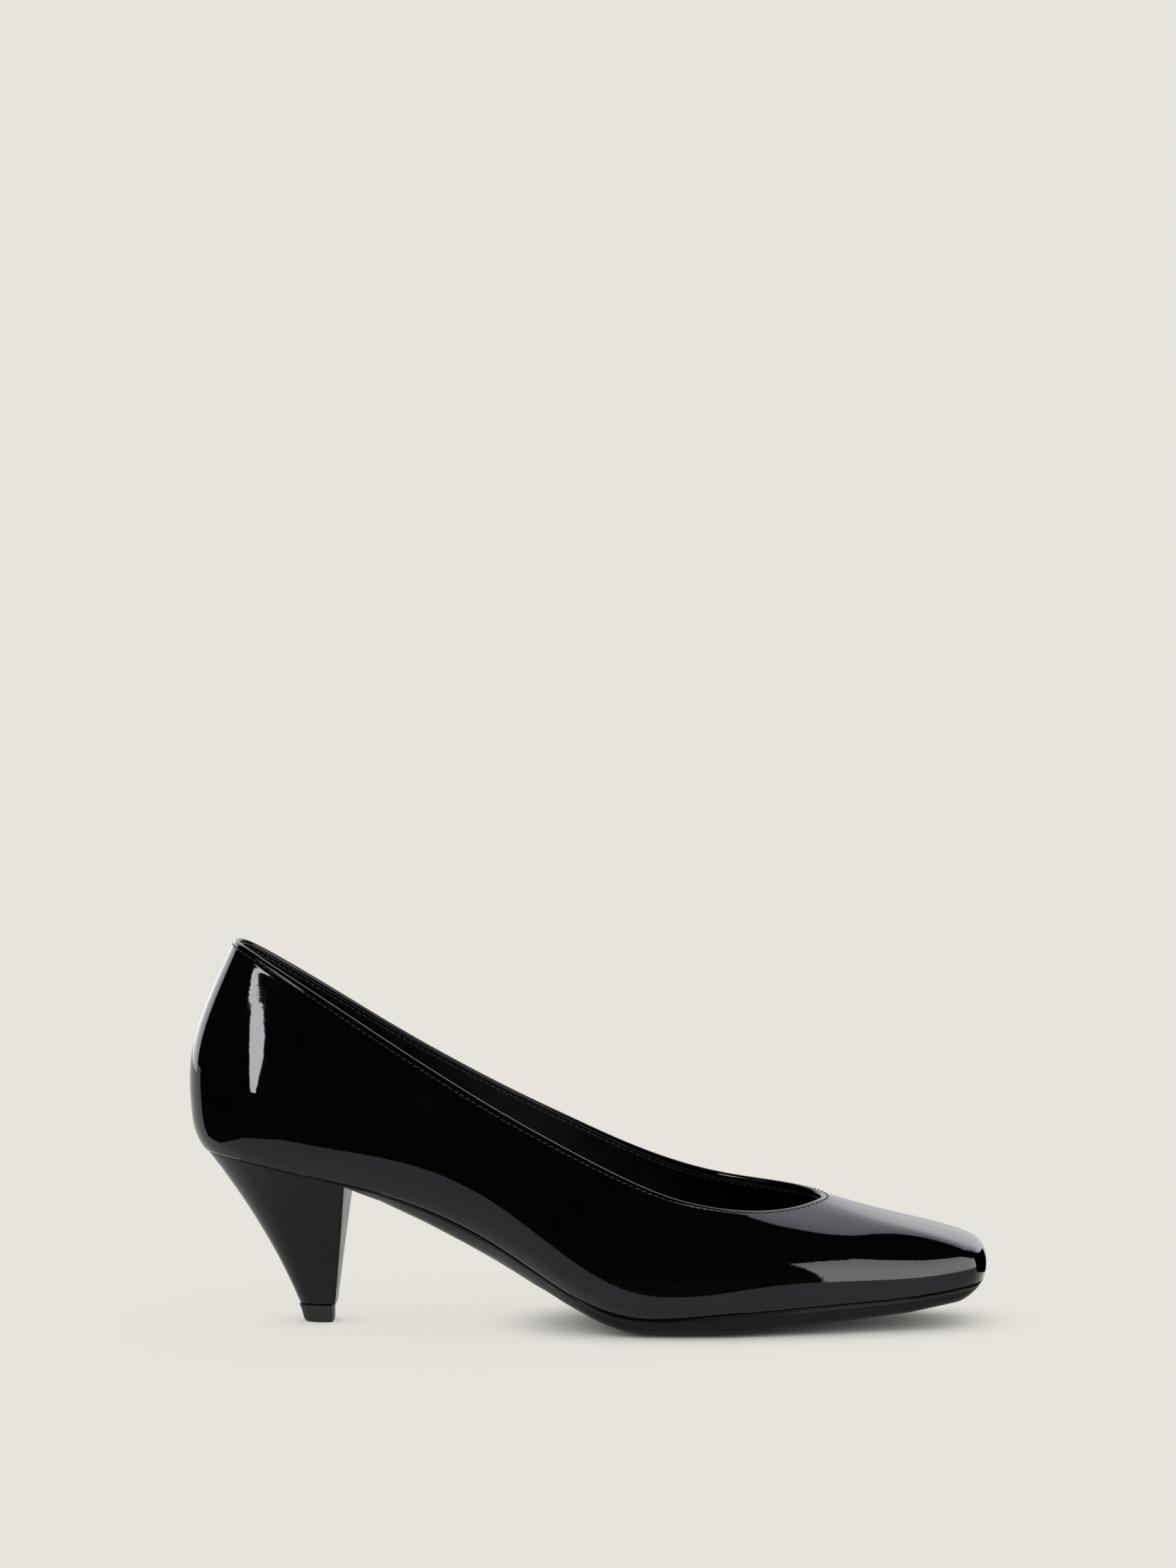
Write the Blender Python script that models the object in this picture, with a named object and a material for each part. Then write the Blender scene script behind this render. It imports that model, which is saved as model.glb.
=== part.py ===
"""High heel pump, right foot: a lasted leather upper on a covered conical heel, every layer its own solid.

Lengths in this file are millimetres, turned to metres when a mesh is made. While it is being
worked out, x runs forward from the back of the heel, y is zero on the centre line with the
lateral (outer) side negative, and z is zero on the floor.
"""

import math

import bmesh
import bpy
import numpy as np
from mathutils import Vector

for old in list(bpy.data.objects):
    bpy.data.objects.remove(old, do_unlink=True)

# ------------------------------------------------------------------ driving sizes (mm)
FRAME_X = 123.96  # middle of the shoe's length
FRAME_Y = -1.65  # middle of its width
UPPER = 1.1  # patent leather
GAP = 0.3  # glue line between two layers
TAPE = 0.3  # topline tape and interlining
STIFF = 0.45  # how much thicker a stiffener is than the tape
LINING = 0.8
BOARD = 1.8  # insole board
SOCK = 0.9
PAD = 2.2  # heel cushion
MARGIN = 8.0  # lasting allowance turned under the insole
HEEL_WRAP = 0.7
BREAST_WRAP = 0.55
BREAST_TOP_X = 49.0
BREAST_FOOT_X = 44.4
TIP_HIGH = 5.3  # thickness of the top piece
PITCH = 0.0065  # lift per millimetre behind the ball of the foot
BALL_X = 140.0
STITCH_DROP = 2.0  # topline stitching below the edge
SEAM_S = 21.0  # medial seam, in stations round the last
STEPS_PER_RIB = 2

# One rib of the last per row, from the middle of the back to the middle of the toe.
# edge: plan of the feather edge, lateral and medial. top: topline, lateral and medial.
# wall, side, turn: how far out and up the surface stands from the feather edge.
# swell: how far it stands off the straight line from the turn up to the topline.
RIBS = [
    dict(edge=[(4.0, 0), (4.0, 0)], top=[(14.3, 0, 119.0), (14.3, 0, 119.0)],
         wall=(3.4, 4.0), side=(4.6, 14), turn=(4.9, 27), swell=[(1.9, 0.5), (1.0, 0.5)]),
    dict(edge=[(6.0, -11.5), (6.0, 11.5)], top=[(16.2, -8.6, 118.5), (16.2, 8.6, 118.6)],
         wall=(3.4, 4.0), side=(4.6, 14), turn=(4.9, 27), swell=[(1.9, 0.5), (1.0, 0.5)]),
    dict(edge=[(16.5, -20.6), (16.5, 20.2)], top=[(25.0, -16.6, 113.8), (25.0, 16.6, 113.0)],
         wall=(3.2, 4.2), side=(4.6, 13), turn=(4.8, 25), swell=[(1.5, 0), (0.8, 0)]),
    dict(edge=[(34, -23.4), (34, 22.4)], top=[(43, -21.6, 103.0), (43, 20.8, 101.8)],
         wall=(3.0, 4.2), side=(4.6, 12), turn=(4.6, 23), swell=[(0.9, 0), (0.5, 0)]),
    dict(edge=[(54, -23.2), (54, 20.8)], top=[(61, -24.2, 91.3), (61, 23.2, 90.2)],
         wall=(3.0, 4.0), side=(4.8, 11.5), turn=(5.0, 21), swell=[(0.7, 0), (0.4, 0)]),
    dict(edge=[(76, -23.0), (76, 18.6)], top=[(80, -26.4, 79.3), (80, 25.4, 79.0)],
         wall=(3.2, 4.0), side=(5.2, 11.5), turn=(5.6, 19), swell=[(0.6, 0), (0.4, 0)]),
    dict(edge=[(98, -26.0), (98, 20.0)], top=[(99, -28.6, 67.9), (99, 27.6, 68.7)],
         wall=(3.2, 4.2), side=(5.0, 12), turn=(5.2, 18), swell=[(0.6, 0), (0.5, 0)]),
    dict(edge=[(119, -32.4), (119, 24.8)], top=[(117, -30.6, 58.4), (117, 29.4, 60.2)],
         wall=(3.2, 3.6), side=(4.4, 9.6), turn=(4.2, 18), swell=[(0.8, 0), (0.6, 0)]),
    dict(edge=[(138, -37.4), (139, 31.0)], top=[(134, -31.4, 49.7), (134, 30.2, 52.3)],
         wall=(3.1, 2.8), side=(3.5, 7.2), turn=(2.7, 17.0), swell=[(1.2, 0), (0.8, 0)]),
    dict(edge=[(158, -39.0), (160, 35.6)], top=[(150, -30.8, 42.6), (151, 29.4, 46.2)],
         wall=(2.6, 2.3), side=(2.9, 6.9), turn=(1.8, 15.0), swell=[(1.4, 0.4), (0.9, 0.3)]),
    dict(edge=[(180, -36.4), (180, 35.4)], top=[(164, -27.8, 39.1), (166, 26.4, 43.0)],
         wall=(2.2, 3.0), side=(2.7, 8.6), turn=(0.9, 14.8), swell=[(1.2, 0.8), (0.6, 0.4)]),
    dict(edge=[(202, -31.0), (201, 30.8)], top=[(177, -22.4, 37.4), (178, 21.8, 42.0)],
         wall=(2.0, 2.8), side=(2.5, 8.6), turn=(-0.1, 14.6), swell=[(0.8, 0.8), (0.3, 0.2)]),
    dict(edge=[(223, -25.6), (223, 24.8)], top=[(187.0, -15.4, 37.7), (187.5, 15.6, 41.3)],
         wall=(1.7, 2.2), side=(2.1, 7.8), turn=(-1.4, 13.6), swell=[(0.3, 0.6), (0, -0.2)]),
    dict(edge=[(237.0, -21.8), (238.5, 20.2)], top=[(192.8, -9.4, 38.7), (193.2, 9.6, 40.6)],
         wall=(1.4, 2.2), side=(1.5, 7.8), turn=(-2.6, 12.6), swell=[(0, 0.5), (0, -0.5)]),
    dict(edge=[(244.4, -18.6), (246.0, 16.4)], top=[(195.4, -5.0, 39.3), (195.6, 5.0, 40.0)],
         wall=(1.2, 2.8), side=(0.9, 8.8), turn=(-3.8, 12.0), swell=[(0, 0.3), (0, -0.8)]),
    dict(edge=[(246.4, -9.0), (247.2, 8.0)], top=[(196.3, -2.4, 39.5), (196.4, 2.4, 39.7)],
         wall=(1.2, 3.8), side=(-0.2, 9.2), turn=(-5.4, 12.1), swell=[(0, 0.2), (0, -0.9)]),
    dict(edge=[(247.0, -0.5), (247.0, -0.5)], top=[(196.6, 0, 39.6), (196.6, 0, 39.6)],
         wall=(1.2, 3.8), side=(-0.2, 9.2), turn=(-5.4, 12.3), swell=[(0, 0.2), (0, -1.0)]),
]

# Side elevation of the bottom: (x, z) of the feather edge, and (x, depth) of the sole under it.
FEATHER = [(4, 53.7), (6, 53.5), (16.5, 52.3), (34, 48.5), (54, 44.5), (76, 37.9), (98, 27.1),
           (119, 12.2), (130, 4.9), (138, 4.9), (158, 7.0), (180, 8.7), (202, 10.2),
           (223, 11.4), (237.5, 13.7), (245, 15.0), (247.6, 15.2)]
CROWN = [(0, 0), (59, 0), (76, 2.6), (95, 4.0), (112, 3.0), (124, 0.9), (130, 0), (250, 0)]
TREAD = [(48, 43.9), (60, 39.2), (75, 31.3), (86, 25.4), (97, 19.2), (108, 12.8), (118, 7.5),
         (127, 3.5), (135, 0.8), (140, 0), (170, 0), (183, 1.2), (202, 2.8), (223, 4.7),
         (239, 7.5), (246, 10.8), (250, 11.8)]
SPINE = ([27, 76, 119, 160, 222], [0, -2.0, -3.6, -1.7, -0.4])  # x and y down the middle

HALF = len(RIBS) - 1
ROUND = 2 * HALF  # stations right round the last


# ------------------------------------------------------------------ surface of the last
def height(knots, x):
    return np.interp(x, [k[0] for k in knots], [k[1] for k in knots])


def control_net():
    walk = [(rib, 0) for rib in RIBS] + [(rib, 1) for rib in RIBS[-2:0:-1]]
    edge = np.array([(*rib["edge"][k], 0) for rib, k in walk], float)
    edge[:, 2] = height(FEATHER, edge[:, 0]) + PITCH * (BALL_X - edge[:, 0])
    top = np.array([rib["top"][k] for rib, k in walk], float)
    top[:, 2] += PITCH * (BALL_X - top[:, 0])
    along = np.roll(edge, -1, 0) - np.roll(edge, 1, 0)
    along /= np.linalg.norm(along[:, :2], axis=1)[:, None]
    out = np.stack([along[:, 1], -along[:, 0], 0 * along[:, 0]], 1)
    up = np.array([0, 0, 1.0])

    def stand(pairs):
        pairs = np.array(pairs, float)
        return pairs[:, :1] * out + pairs[:, 1:] * up

    wall = edge + stand([rib["wall"] for rib, k in walk])
    side = edge + stand([rib["side"] for rib, k in walk])
    turn = edge + stand([rib["turn"] for rib, k in walk])
    low = turn + (top - turn) / 3 + stand([rib["swell"][0] for rib, k in walk])
    high = turn + (top - turn) * 2 / 3 + stand([rib["swell"][1] for rib, k in walk])
    return np.array([edge, wall, side, turn, low, high, top])


NET = control_net()


def weights_round(s):
    """Cubic B-spline weights of the stations, closed on themselves."""
    s = np.asarray(s, float) % ROUND
    cell = np.floor(s).astype(int)
    u = s - cell
    found = np.zeros(s.shape + (ROUND,))
    parts = [(1 - u) ** 3, 3 * u**3 - 6 * u**2 + 4, -3 * u**3 + 3 * u**2 + 3 * u + 1, u**3]
    for k, part in enumerate(parts):
        spot = (cell - 1 + k) % ROUND
        np.put_along_axis(
            found, spot[..., None], np.take_along_axis(found, spot[..., None], -1)
            + part[..., None] / 6, -1)
    return found


def weights_up(t):
    """Cubic B-spline weights up the wall, ending on the first and last control rows."""
    rows, degree = len(NET), 3
    spans = rows - degree
    knots = [0.0] * degree + [float(k) for k in range(spans + 1)] + [float(spans)] * degree
    t = np.clip(np.asarray(t, float) * spans, 0, spans - 1e-9)
    found = [((knots[i] <= t) & (t < knots[i + 1])).astype(float) for i in range(len(knots) - 1)]
    for d in range(1, degree + 1):
        step = []
        for i in range(len(knots) - 1 - d):
            total = np.zeros_like(t)
            if knots[i + d] > knots[i]:
                total = total + (t - knots[i]) / (knots[i + d] - knots[i]) * found[i]
            if knots[i + d + 1] > knots[i + 1]:
                rest = (knots[i + d + 1] - t) / (knots[i + d + 1] - knots[i + 1])
                total = total + rest * found[i + 1]
            step.append(total)
        found = step
    return np.stack(found, -1)


def leaned(s, t):
    """The medial seam slopes back toward the waist as it goes down, and the grid with it."""
    off = np.clip(np.abs(np.asarray(s, float) % ROUND - SEAM_S) / 4.0, 0, 1)
    return s + 1.8 * (1 - np.clip(t, 0, 1)) * (1 - off * off * (3 - 2 * off))


def skin(s, t):
    """Outer surface of the upper: s stations round from the back, t from feather edge to topline."""
    s, t = np.broadcast_arrays(np.asarray(s, float), np.asarray(t, float))
    return np.einsum("...i,ijk,...j->...k", weights_up(t), NET, weights_round(leaned(s, t)))


def foot_line(first, last):
    s = np.linspace(first, last, 161)
    return skin(s, 0 * s)


FOOT_LINES = [foot_line(0, HALF), foot_line(ROUND, HALF)]


def within(s, t, depth):
    """The surface this far inside the upper's outer face, square to it."""
    e = 0.01
    s, t, depth = np.broadcast_arrays(*(np.asarray(v, float) for v in (s, t, depth)))
    along = skin(s + e, t) - skin(s - e, t)
    upward = skin(s, np.minimum(t + e, 1)) - skin(s, np.maximum(t - e, 0))
    normal = np.cross(along, upward)
    normal /= np.linalg.norm(normal, axis=-1)[..., None]
    return skin(s, t) - normal * depth[..., None]


def under(s, inset, lift):
    """A point under the foot: in from the feather edge, and up from it."""
    s = np.asarray(s, float)
    foot = skin(s, 0 * s)
    spine = foot * 0
    spine[..., 0] = np.clip(foot[..., 0], 27, 222)
    spine[..., 1] = np.interp(spine[..., 0], *SPINE)
    along = skin(s + 0.01, 0 * s) - skin(s - 0.01, 0 * s)
    along /= np.linalg.norm(along[..., :2], axis=-1)[..., None]
    inward = np.stack([-along[..., 1], along[..., 0]], -1)
    toward = (spine - foot)[..., :2]
    toward /= np.linalg.norm(toward, axis=-1)[..., None]
    slant = np.maximum((toward * inward).sum(-1), 0.6)
    moved = foot.copy()
    moved[..., :2] += toward * (np.asarray(inset) / slant)[..., None]
    moved[..., 2] = underside(moved[..., 0], moved[..., 1]) + lift
    return moved


def underside(x, y):
    """Height of the last's bottom: the feather line's, sagging toward the middle at the waist."""
    line = FOOT_LINES[0]
    outside = np.interp(x, line[:, 0], line[:, 1])
    inside = np.interp(x, FOOT_LINES[1][:, 0], FOOT_LINES[1][:, 1])
    v = np.clip((y - outside) / np.maximum(inside - outside, 1e-6), 0, 1)
    return np.interp(x, line[:, 0], line[:, 2]) - height(CROWN, x) * 4 * v * (1 - v)


def smooth(a, b, x):
    u = np.clip((np.asarray(x, float) - a) / (b - a), 0, 1)
    return u * u * (3 - 2 * u)


def bulk(s, t):
    """1 where a stiffener fills the upper at the heel or the toe, 0 elsewhere."""
    s = np.asarray(s, float) % ROUND
    back = np.minimum(s, ROUND - s)
    front = np.abs(s - HALF)
    heel = (1 - smooth(2.6, 4.4, back)) * (1 - smooth(0.62, 0.80, t))
    toe = (1 - smooth(3.6, 5.4, front)) * (1 - smooth(0.50, 0.66, t))
    return heel + toe


def lining_depth(s, t):
    return UPPER + GAP + TAPE + GAP + STIFF * bulk(s, t)


# ------------------------------------------------------------------ meshes
def material(name, colour, roughness, metallic=0.0):
    made = bpy.data.materials.new(name)
    made.use_nodes = True
    shader = made.node_tree.nodes["Principled BSDF"]
    shader.inputs["Base Color"].default_value = (*colour, 1.0)
    shader.inputs["Roughness"].default_value = roughness
    shader.inputs["Metallic"].default_value = metallic
    made.diffuse_color = (*colour, 1.0)
    return made


def solid(name, points, faces, look):
    """One closed mesh object from millimetre points and faces."""
    mesh = bpy.data.meshes.new(name)
    shaped = (np.asarray(points, float) - (FRAME_X, FRAME_Y, 0)) * 0.001
    mesh.from_pydata(shaped.tolist(), [], [tuple(int(v) for v in face) for face in faces])
    frame = bmesh.new()
    frame.from_mesh(mesh)
    bmesh.ops.remove_doubles(frame, verts=frame.verts, dist=2e-6)
    bmesh.ops.dissolve_degenerate(frame, edges=frame.edges, dist=1e-6)
    bmesh.ops.recalc_face_normals(frame, faces=frame.faces)
    if frame.calc_volume(signed=True) < 0:
        bmesh.ops.reverse_faces(frame, faces=frame.faces)
    frame.to_mesh(mesh)
    frame.free()
    mesh.materials.append(look)
    made = bpy.data.objects.new(name, mesh)
    bpy.context.scene.collection.objects.link(made)
    return made


def shell(name, outer, inner, look, ring=False):
    """A sheet between two grids of points [row][column], closed at its edges."""
    outer, inner = np.asarray(outer), np.asarray(inner)
    rows, columns = outer.shape[:2]
    points = np.concatenate([outer.reshape(-1, 3), inner.reshape(-1, 3)])
    shift = rows * columns
    faces = []
    last = columns if ring else columns - 1
    for c in range(last):
        d = (c + 1) % columns
        for r in range(rows - 1):
            a, b = r * columns, (r + 1) * columns
            faces.append((a + c, a + d, b + d, b + c))
            faces.append((shift + a + c, shift + b + c, shift + b + d, shift + a + d))
        faces.append((c, shift + c, shift + d, d))
        edge = (rows - 1) * columns
        faces.append((edge + c, edge + d, shift + edge + d, shift + edge + c))
    if not ring:
        for c, turn in ((0, 1), (columns - 1, -1)):
            for r in range(rows - 1):
                a, b = r * columns + c, (r + 1) * columns + c
                faces.append((a, b, shift + b, shift + a)[::turn])
    return solid(name, points, faces, look)


def slab(name, lateral, medial, look, across=4, laid=None):
    """A plate: rings [ring][column] down each side, spanned across, its faces laid to two surfaces."""
    lateral, medial = np.asarray(lateral), np.asarray(medial)
    rings, columns = lateral.shape[:2]
    points, faces = [], []

    def add(p):
        points.append(p)
        return len(points) - 1

    left = [[add(p) for p in ring] for ring in lateral]
    right = [[add(p) for p in ring] for ring in medial]
    spans = []
    for ring in (0, rings - 1):
        rows = []
        for c in range(columns):
            row = [left[ring][c]]
            for k in range(1, across):
                u = k / across
                ends = np.array([lateral[ring][c], medial[ring][c]])
                if laid:
                    bed = laid[0 if ring == 0 else 1]
                    ends[:, 2] -= bed(ends[:, 0], ends[:, 1])
                p = ends[0] * (1 - u) + ends[1] * u
                if laid:
                    p[2] += bed(p[0], p[1])
                row.append(add(p))
            rows.append(row + [right[ring][c]])
        spans.append(rows)
    for rows in spans:
        for c in range(columns - 1):
            for k in range(across):
                faces.append((rows[c][k], rows[c + 1][k], rows[c + 1][k + 1], rows[c][k + 1]))
    for edge in (left, right):
        for r in range(rings - 1):
            for c in range(columns - 1):
                faces.append((edge[r][c], edge[r][c + 1], edge[r + 1][c + 1], edge[r + 1][c]))
    for c in (0, columns - 1):
        if np.linalg.norm(lateral[0][c] - medial[0][c]) < 0.02:
            continue
        down = [right[r][c] for r in range(1, rings - 1)]
        back = [left[r][c] for r in range(rings - 2, 0, -1)]
        faces.append(spans[0][c] + down + spans[1][c][::-1] + back)
    return solid(name, points, faces, look)


def turned(name, base, axis, profile, look, sides=12):
    """A turned solid: (distance along the axis, radius) pairs from one end to the other."""
    axis = Vector(axis).normalized()
    aside = axis.orthogonal().normalized()
    other = axis.cross(aside)
    base = Vector(base)
    points, faces = [], []
    for along, radius in profile:
        for k in range(sides):
            a = 2 * math.pi * k / sides
            points.append(base + axis * along + (aside * math.cos(a) + other * math.sin(a)) * radius)
    for r in range(len(profile) - 1):
        for k in range(sides):
            m = (k + 1) % sides
            faces.append((r * sides + k, r * sides + m, (r + 1) * sides + m, (r + 1) * sides + k))
    faces.append(tuple(range(sides))[::-1])
    faces.append(tuple((len(profile) - 1) * sides + k for k in range(sides)))
    return solid(name, [tuple(p) for p in points], faces, look)


def cut(target, cutters):
    """Cuts these solids out of the target and removes them."""
    for cutter in cutters:
        step = target.modifiers.new("cut", "BOOLEAN")
        step.operation = "DIFFERENCE"
        step.solver = "EXACT"
        step.object = cutter
    bpy.context.view_layer.update()
    graph = bpy.context.evaluated_depsgraph_get()
    whole = bpy.data.meshes.new_from_object(target.evaluated_get(graph))
    target.modifiers.clear()
    target.data = whole
    for cutter in cutters:
        bpy.data.objects.remove(cutter, do_unlink=True)


BOTTOM = (underside, underside)


def stations(first, last):
    """Column stations from first to last, whole steps between the two ends."""
    step = 1.0 / STEPS_PER_RIB
    inner = np.arange(math.floor(first / step) + 1, math.ceil(last / step)) * step
    inner = [s for s in inner if s - first > 0.12 and last - s > 0.12]
    return np.array([first] + inner + [last])


# ------------------------------------------------------------------ looks
patent = material("patent_leather_black", (0.012, 0.012, 0.013), 0.06)
kid = material("lining_leather_black", (0.030, 0.029, 0.030), 0.55)
fibre = material("stiffener_fibreboard", (0.62, 0.56, 0.45), 0.75)
cloth = material("interlining_cotton", (0.70, 0.69, 0.65), 0.9)
board = material("insole_cellulose", (0.42, 0.30, 0.20), 0.8)
foam = material("latex_foam", (0.80, 0.74, 0.62), 0.85)
cork = material("cork_filler", (0.45, 0.30, 0.17), 0.9)
steel = material("tempered_steel", (0.55, 0.56, 0.58), 0.35, 1.0)
sole_look = material("sole_leather_black", (0.020, 0.019, 0.019), 0.38)
wrap = material("heel_wrap_black", (0.017, 0.017, 0.018), 0.33)
abs_plastic = material("abs_white", (0.75, 0.75, 0.73), 0.45)
rubber = material("top_piece_rubber", (0.026, 0.024, 0.023), 0.62)
thread = material("bonded_thread_black", (0.010, 0.010, 0.011), 0.6)

# ------------------------------------------------------------------ upper and what backs it
LEVELS = [1.0, 0.985, 0.93, 0.85, 0.74, 0.61, 0.47, 0.33, 0.21, 0.12]


def sheet(s, levels, depth, foot=None):
    """Rows of a layer from the topline down, then under the foot if it is lasted."""
    rows = [within(s, t + 0 * s, depth(s, t)) for t in levels]
    for inset, lift in foot or []:
        rows.append(under(s, inset, lift))
    return rows


def lasted(name, s, outside, inside, lift, thick, look, low_out, low_in, bend):
    """A layer pulled over the last and turned under; bend is where each face meets the bottom."""
    levels_out = [t for t in LEVELS if t > low_out + 0.02] + [low_out]
    levels_in = [t for t in LEVELS if t > low_out + 0.02] + [low_in]
    outer = sheet(s, levels_out, outside, [(bend[0], lift), (MARGIN, lift)])
    inner = sheet(s, levels_in, inside, [(bend[1], lift + thick), (MARGIN, lift + thick)])
    return shell(name, outer, inner, look)


def at(value):
    return lambda s, t: value + 0 * s


SLIT = 0.014
front_and_outside = stations(SLIT, SEAM_S - SLIT)
inside_quarter = stations(SEAM_S + SLIT, ROUND - SLIT)
for name, s in (("upper_vamp_and_lateral_quarter", front_and_outside),
                ("upper_medial_quarter", inside_quarter)):
    lasted(name, s, at(0), at(UPPER), 0.0, UPPER, patent, 0.0, 0.03, (2.0, 1.5))

front_lining = stations(9.0 + SLIT, ROUND - 9.0 - SLIT)
rear_lining = stations(-9.0 + SLIT, 9.0 - SLIT)
for name, s in (("vamp_lining", front_lining), ("quarter_lining", rear_lining)):
    lasted(name, s, lining_depth, lambda s, t: lining_depth(s, t) + LINING,
           UPPER + GAP, LINING, kid, 0.055, 0.09, (3.2, 3.8))


def backing(name, first, last, low, high, look):
    s = stations(first, last)
    levels = [high] + [t for t in LEVELS if low + 0.02 < t < high - 0.02] + [low]
    outer = sheet(s, levels, at(UPPER + GAP))
    inner = sheet(s, levels, lambda s, t: lining_depth(s, t) - GAP)
    return shell(name, outer, inner, look)


backing("heel_counter", -3.6, 3.6, 0.10, 0.74, fibre)
backing("toe_puff", HALF - 4.6, HALF + 4.6, 0.10, 0.60, fibre)
backing("lateral_interlining", 3.72, HALF - 4.72, 0.10, 0.88, cloth)
backing("medial_interlining", HALF + 4.72, ROUND - 3.72, 0.10, 0.88, cloth)

ring = np.arange(0, ROUND, 1.0 / STEPS_PER_RIB)
tape_rows = [0.975, 0.93, 0.905]
shell("topline_tape", [within(ring, t + 0 * ring, UPPER + GAP) for t in tape_rows],
      [within(ring, t + 0 * ring, UPPER + GAP + TAPE) for t in tape_rows], cloth, ring=True)


def stitch_line(name, s, t, radius, look, sides=6):
    """The sewn line as one bonded cord lying just off the upper's face."""
    centre = within(s, t, -(radius + 0.06))
    rim = within(s, t, -(radius + 1.06))
    outward = rim - centre
    along = np.roll(centre, -1, 0) - np.roll(centre, 1, 0)
    along /= np.linalg.norm(along, axis=1)[:, None]
    aside = np.cross(along, outward)
    aside /= np.linalg.norm(aside, axis=1)[:, None]
    count = len(s)
    points, faces = [], []
    for k in range(sides):
        a = 2 * math.pi * k / sides
        points.extend(centre + radius * (outward * math.cos(a) + aside * math.sin(a)))
    for k in range(sides):
        m = (k + 1) % sides
        for c in range(count):
            d = (c + 1) % count
            faces.append((k * count + c, k * count + d, m * count + d, m * count + c))
    return solid(name, points, faces, look)


def drop_to_t(s, drop):
    """The level whose line runs this far below the topline along the surface."""
    levels = np.linspace(0.8, 1.0, 41)
    lines = np.array([skin(s, t + 0 * s) for t in levels])
    gone = np.linalg.norm(lines - lines[-1], axis=-1)
    return np.array([np.interp(-drop, -gone[:, c], levels) for c in range(len(s))])


stitch_line("topline_thread", ring, drop_to_t(ring, STITCH_DROP), 0.22, thread)

# ------------------------------------------------------------------ bottom
side = stations(0.0, float(HALF))


def halves(s, rings):
    """Each ring function evaluated down the lateral side and down the medial side."""
    return [ring(s) for ring in rings], [ring(ROUND - s) for ring in rings]


def against_lining(lift, clearance):
    """Plan line just inside the lining's wall at this height over the bottom."""
    def ring_of(s):
        levels = np.linspace(0.02, 0.4, 39)
        walls = np.array([within(s, t + 0 * s, lining_depth(s, t) + LINING + clearance)
                          for t in levels])
        over = walls[..., 2] - underside(walls[..., 0], walls[..., 1])
        line = np.array([[np.interp(lift, over[:, c], walls[:, c, k]) for k in range(3)]
                         for c in range(len(s))])
        line[..., 2] = underside(line[..., 0], line[..., 1]) + lift
        return line
    return ring_of


def inset_ring(inset, lift):
    return lambda s: under(s, inset + 0 * s, lift)


board_low = UPPER + GAP + LINING + GAP
board_top = board_low + BOARD
insole = slab("insole_board", *halves(side, [against_lining(board_top, 1.0),
                                             inset_ring(4.4, board_low)]), board, laid=BOTTOM)


def sock_ring(extra):
    def ring_of(s):
        line = against_lining(board_top + GAP + SOCK, 1.3)(s)
        bump = (PAD + GAP) * (1 - smooth(64, 86, line[..., 0]))
        line[..., 2] += GAP + extra + bump - GAP - SOCK
        return line
    return ring_of


slab("sock_lining", *halves(side, [sock_ring(SOCK), sock_ring(0.0)]), kid, laid=BOTTOM)


def pad_ring(lift):
    return lambda s: under(s, 4.6 + 0 * s, lift)


heel_side = stations(0.0, 4.0)
slab("heel_pad", *halves(heel_side, [pad_ring(board_top + GAP + PAD), pad_ring(board_top + GAP)]),
     foam, laid=BOTTOM)

filler_side = stations(8.0, 14.6)
slab("bottom_filler", *halves(filler_side, [inset_ring(MARGIN + 0.6, board_low - GAP),
                                            inset_ring(MARGIN + 0.6, 0.0)]), cork, laid=BOTTOM)


def tread(x, y):
    """Height of the sole's lower face, which sags across the waist as the last does."""
    return height(TREAD, x) + underside(x, y) - underside(x, np.interp(x, *SPINE))


SOLE_STEPS = [0, 0.3, 0.42, 0.75, 0.93, 1, 1.2]
SOLE_ROLL = 1.0  # the tread's edge stands this far off the floor


def sole_ring(where):
    """Edge of the outsole, 0 its top line, 1 where the tread begins: square in front, rolled behind."""
    front_inset = np.interp(where, SOLE_STEPS, [0.9, 0.2, 0.7, 0.9, 1.9, 3.4, 11.0])
    waist_inset = np.interp(where, SOLE_STEPS, [1.3, 1.6, 2.2, 4.4, 6.6, 9.0, 12.0])

    def ring_of(s):
        foot = skin(s, 0 * s)
        waist = (1 - smooth(112, 132, foot[..., 0])) * smooth(50, 60, foot[..., 0])
        inset = front_inset * (1 - waist) + waist_inset * waist
        line = under(s, inset, 0.0)
        line[0, 0] = SOLE_BACK_X
        line[..., 2] = underside(line[..., 0], line[..., 1])
        low = tread(line[..., 0], line[..., 1])
        low += (np.clip(11.0 - inset, 0, 11) / 7.6) ** 2 * SOLE_ROLL
        down = min(where, 1.0)
        line[..., 2] = (line[..., 2] - GAP - 0.1) * (1 - down) + low * down
        return line
    return ring_of


breast_s = 3.84
SOLE_BACK_X = BREAST_TOP_X + GAP + BREAST_WRAP + GAP
sole_side = stations(breast_s + 0.1, float(HALF))
slab("outsole", *halves(sole_side, [sole_ring(w) for w in SOLE_STEPS]),
     sole_look, laid=(underside, tread))

# ------------------------------------------------------------------ heel
HEEL_TOP_INSET = 0.9
TIP_HALF = 5.7  # half the width of the heel's foot
LEVEL_COUNT = 11


def heel_tip_line(f, lateral, grow=0.0):
    """Plan of the heel's foot from the middle of its back (f = 0) to the breast (f = 1)."""
    back, wide, deep = 34.0 - grow, TIP_HALF + grow, 6.6
    angle = np.clip(f / 0.62, 0, 1) * math.pi / 2
    x = back + deep * (1 - np.cos(angle))
    x = x + np.clip((f - 0.62) / 0.38, 0, 1) * (BREAST_FOOT_X - back - deep)
    y = wide * np.sin(angle) * (-1 if lateral else 1)
    return x, y


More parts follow.
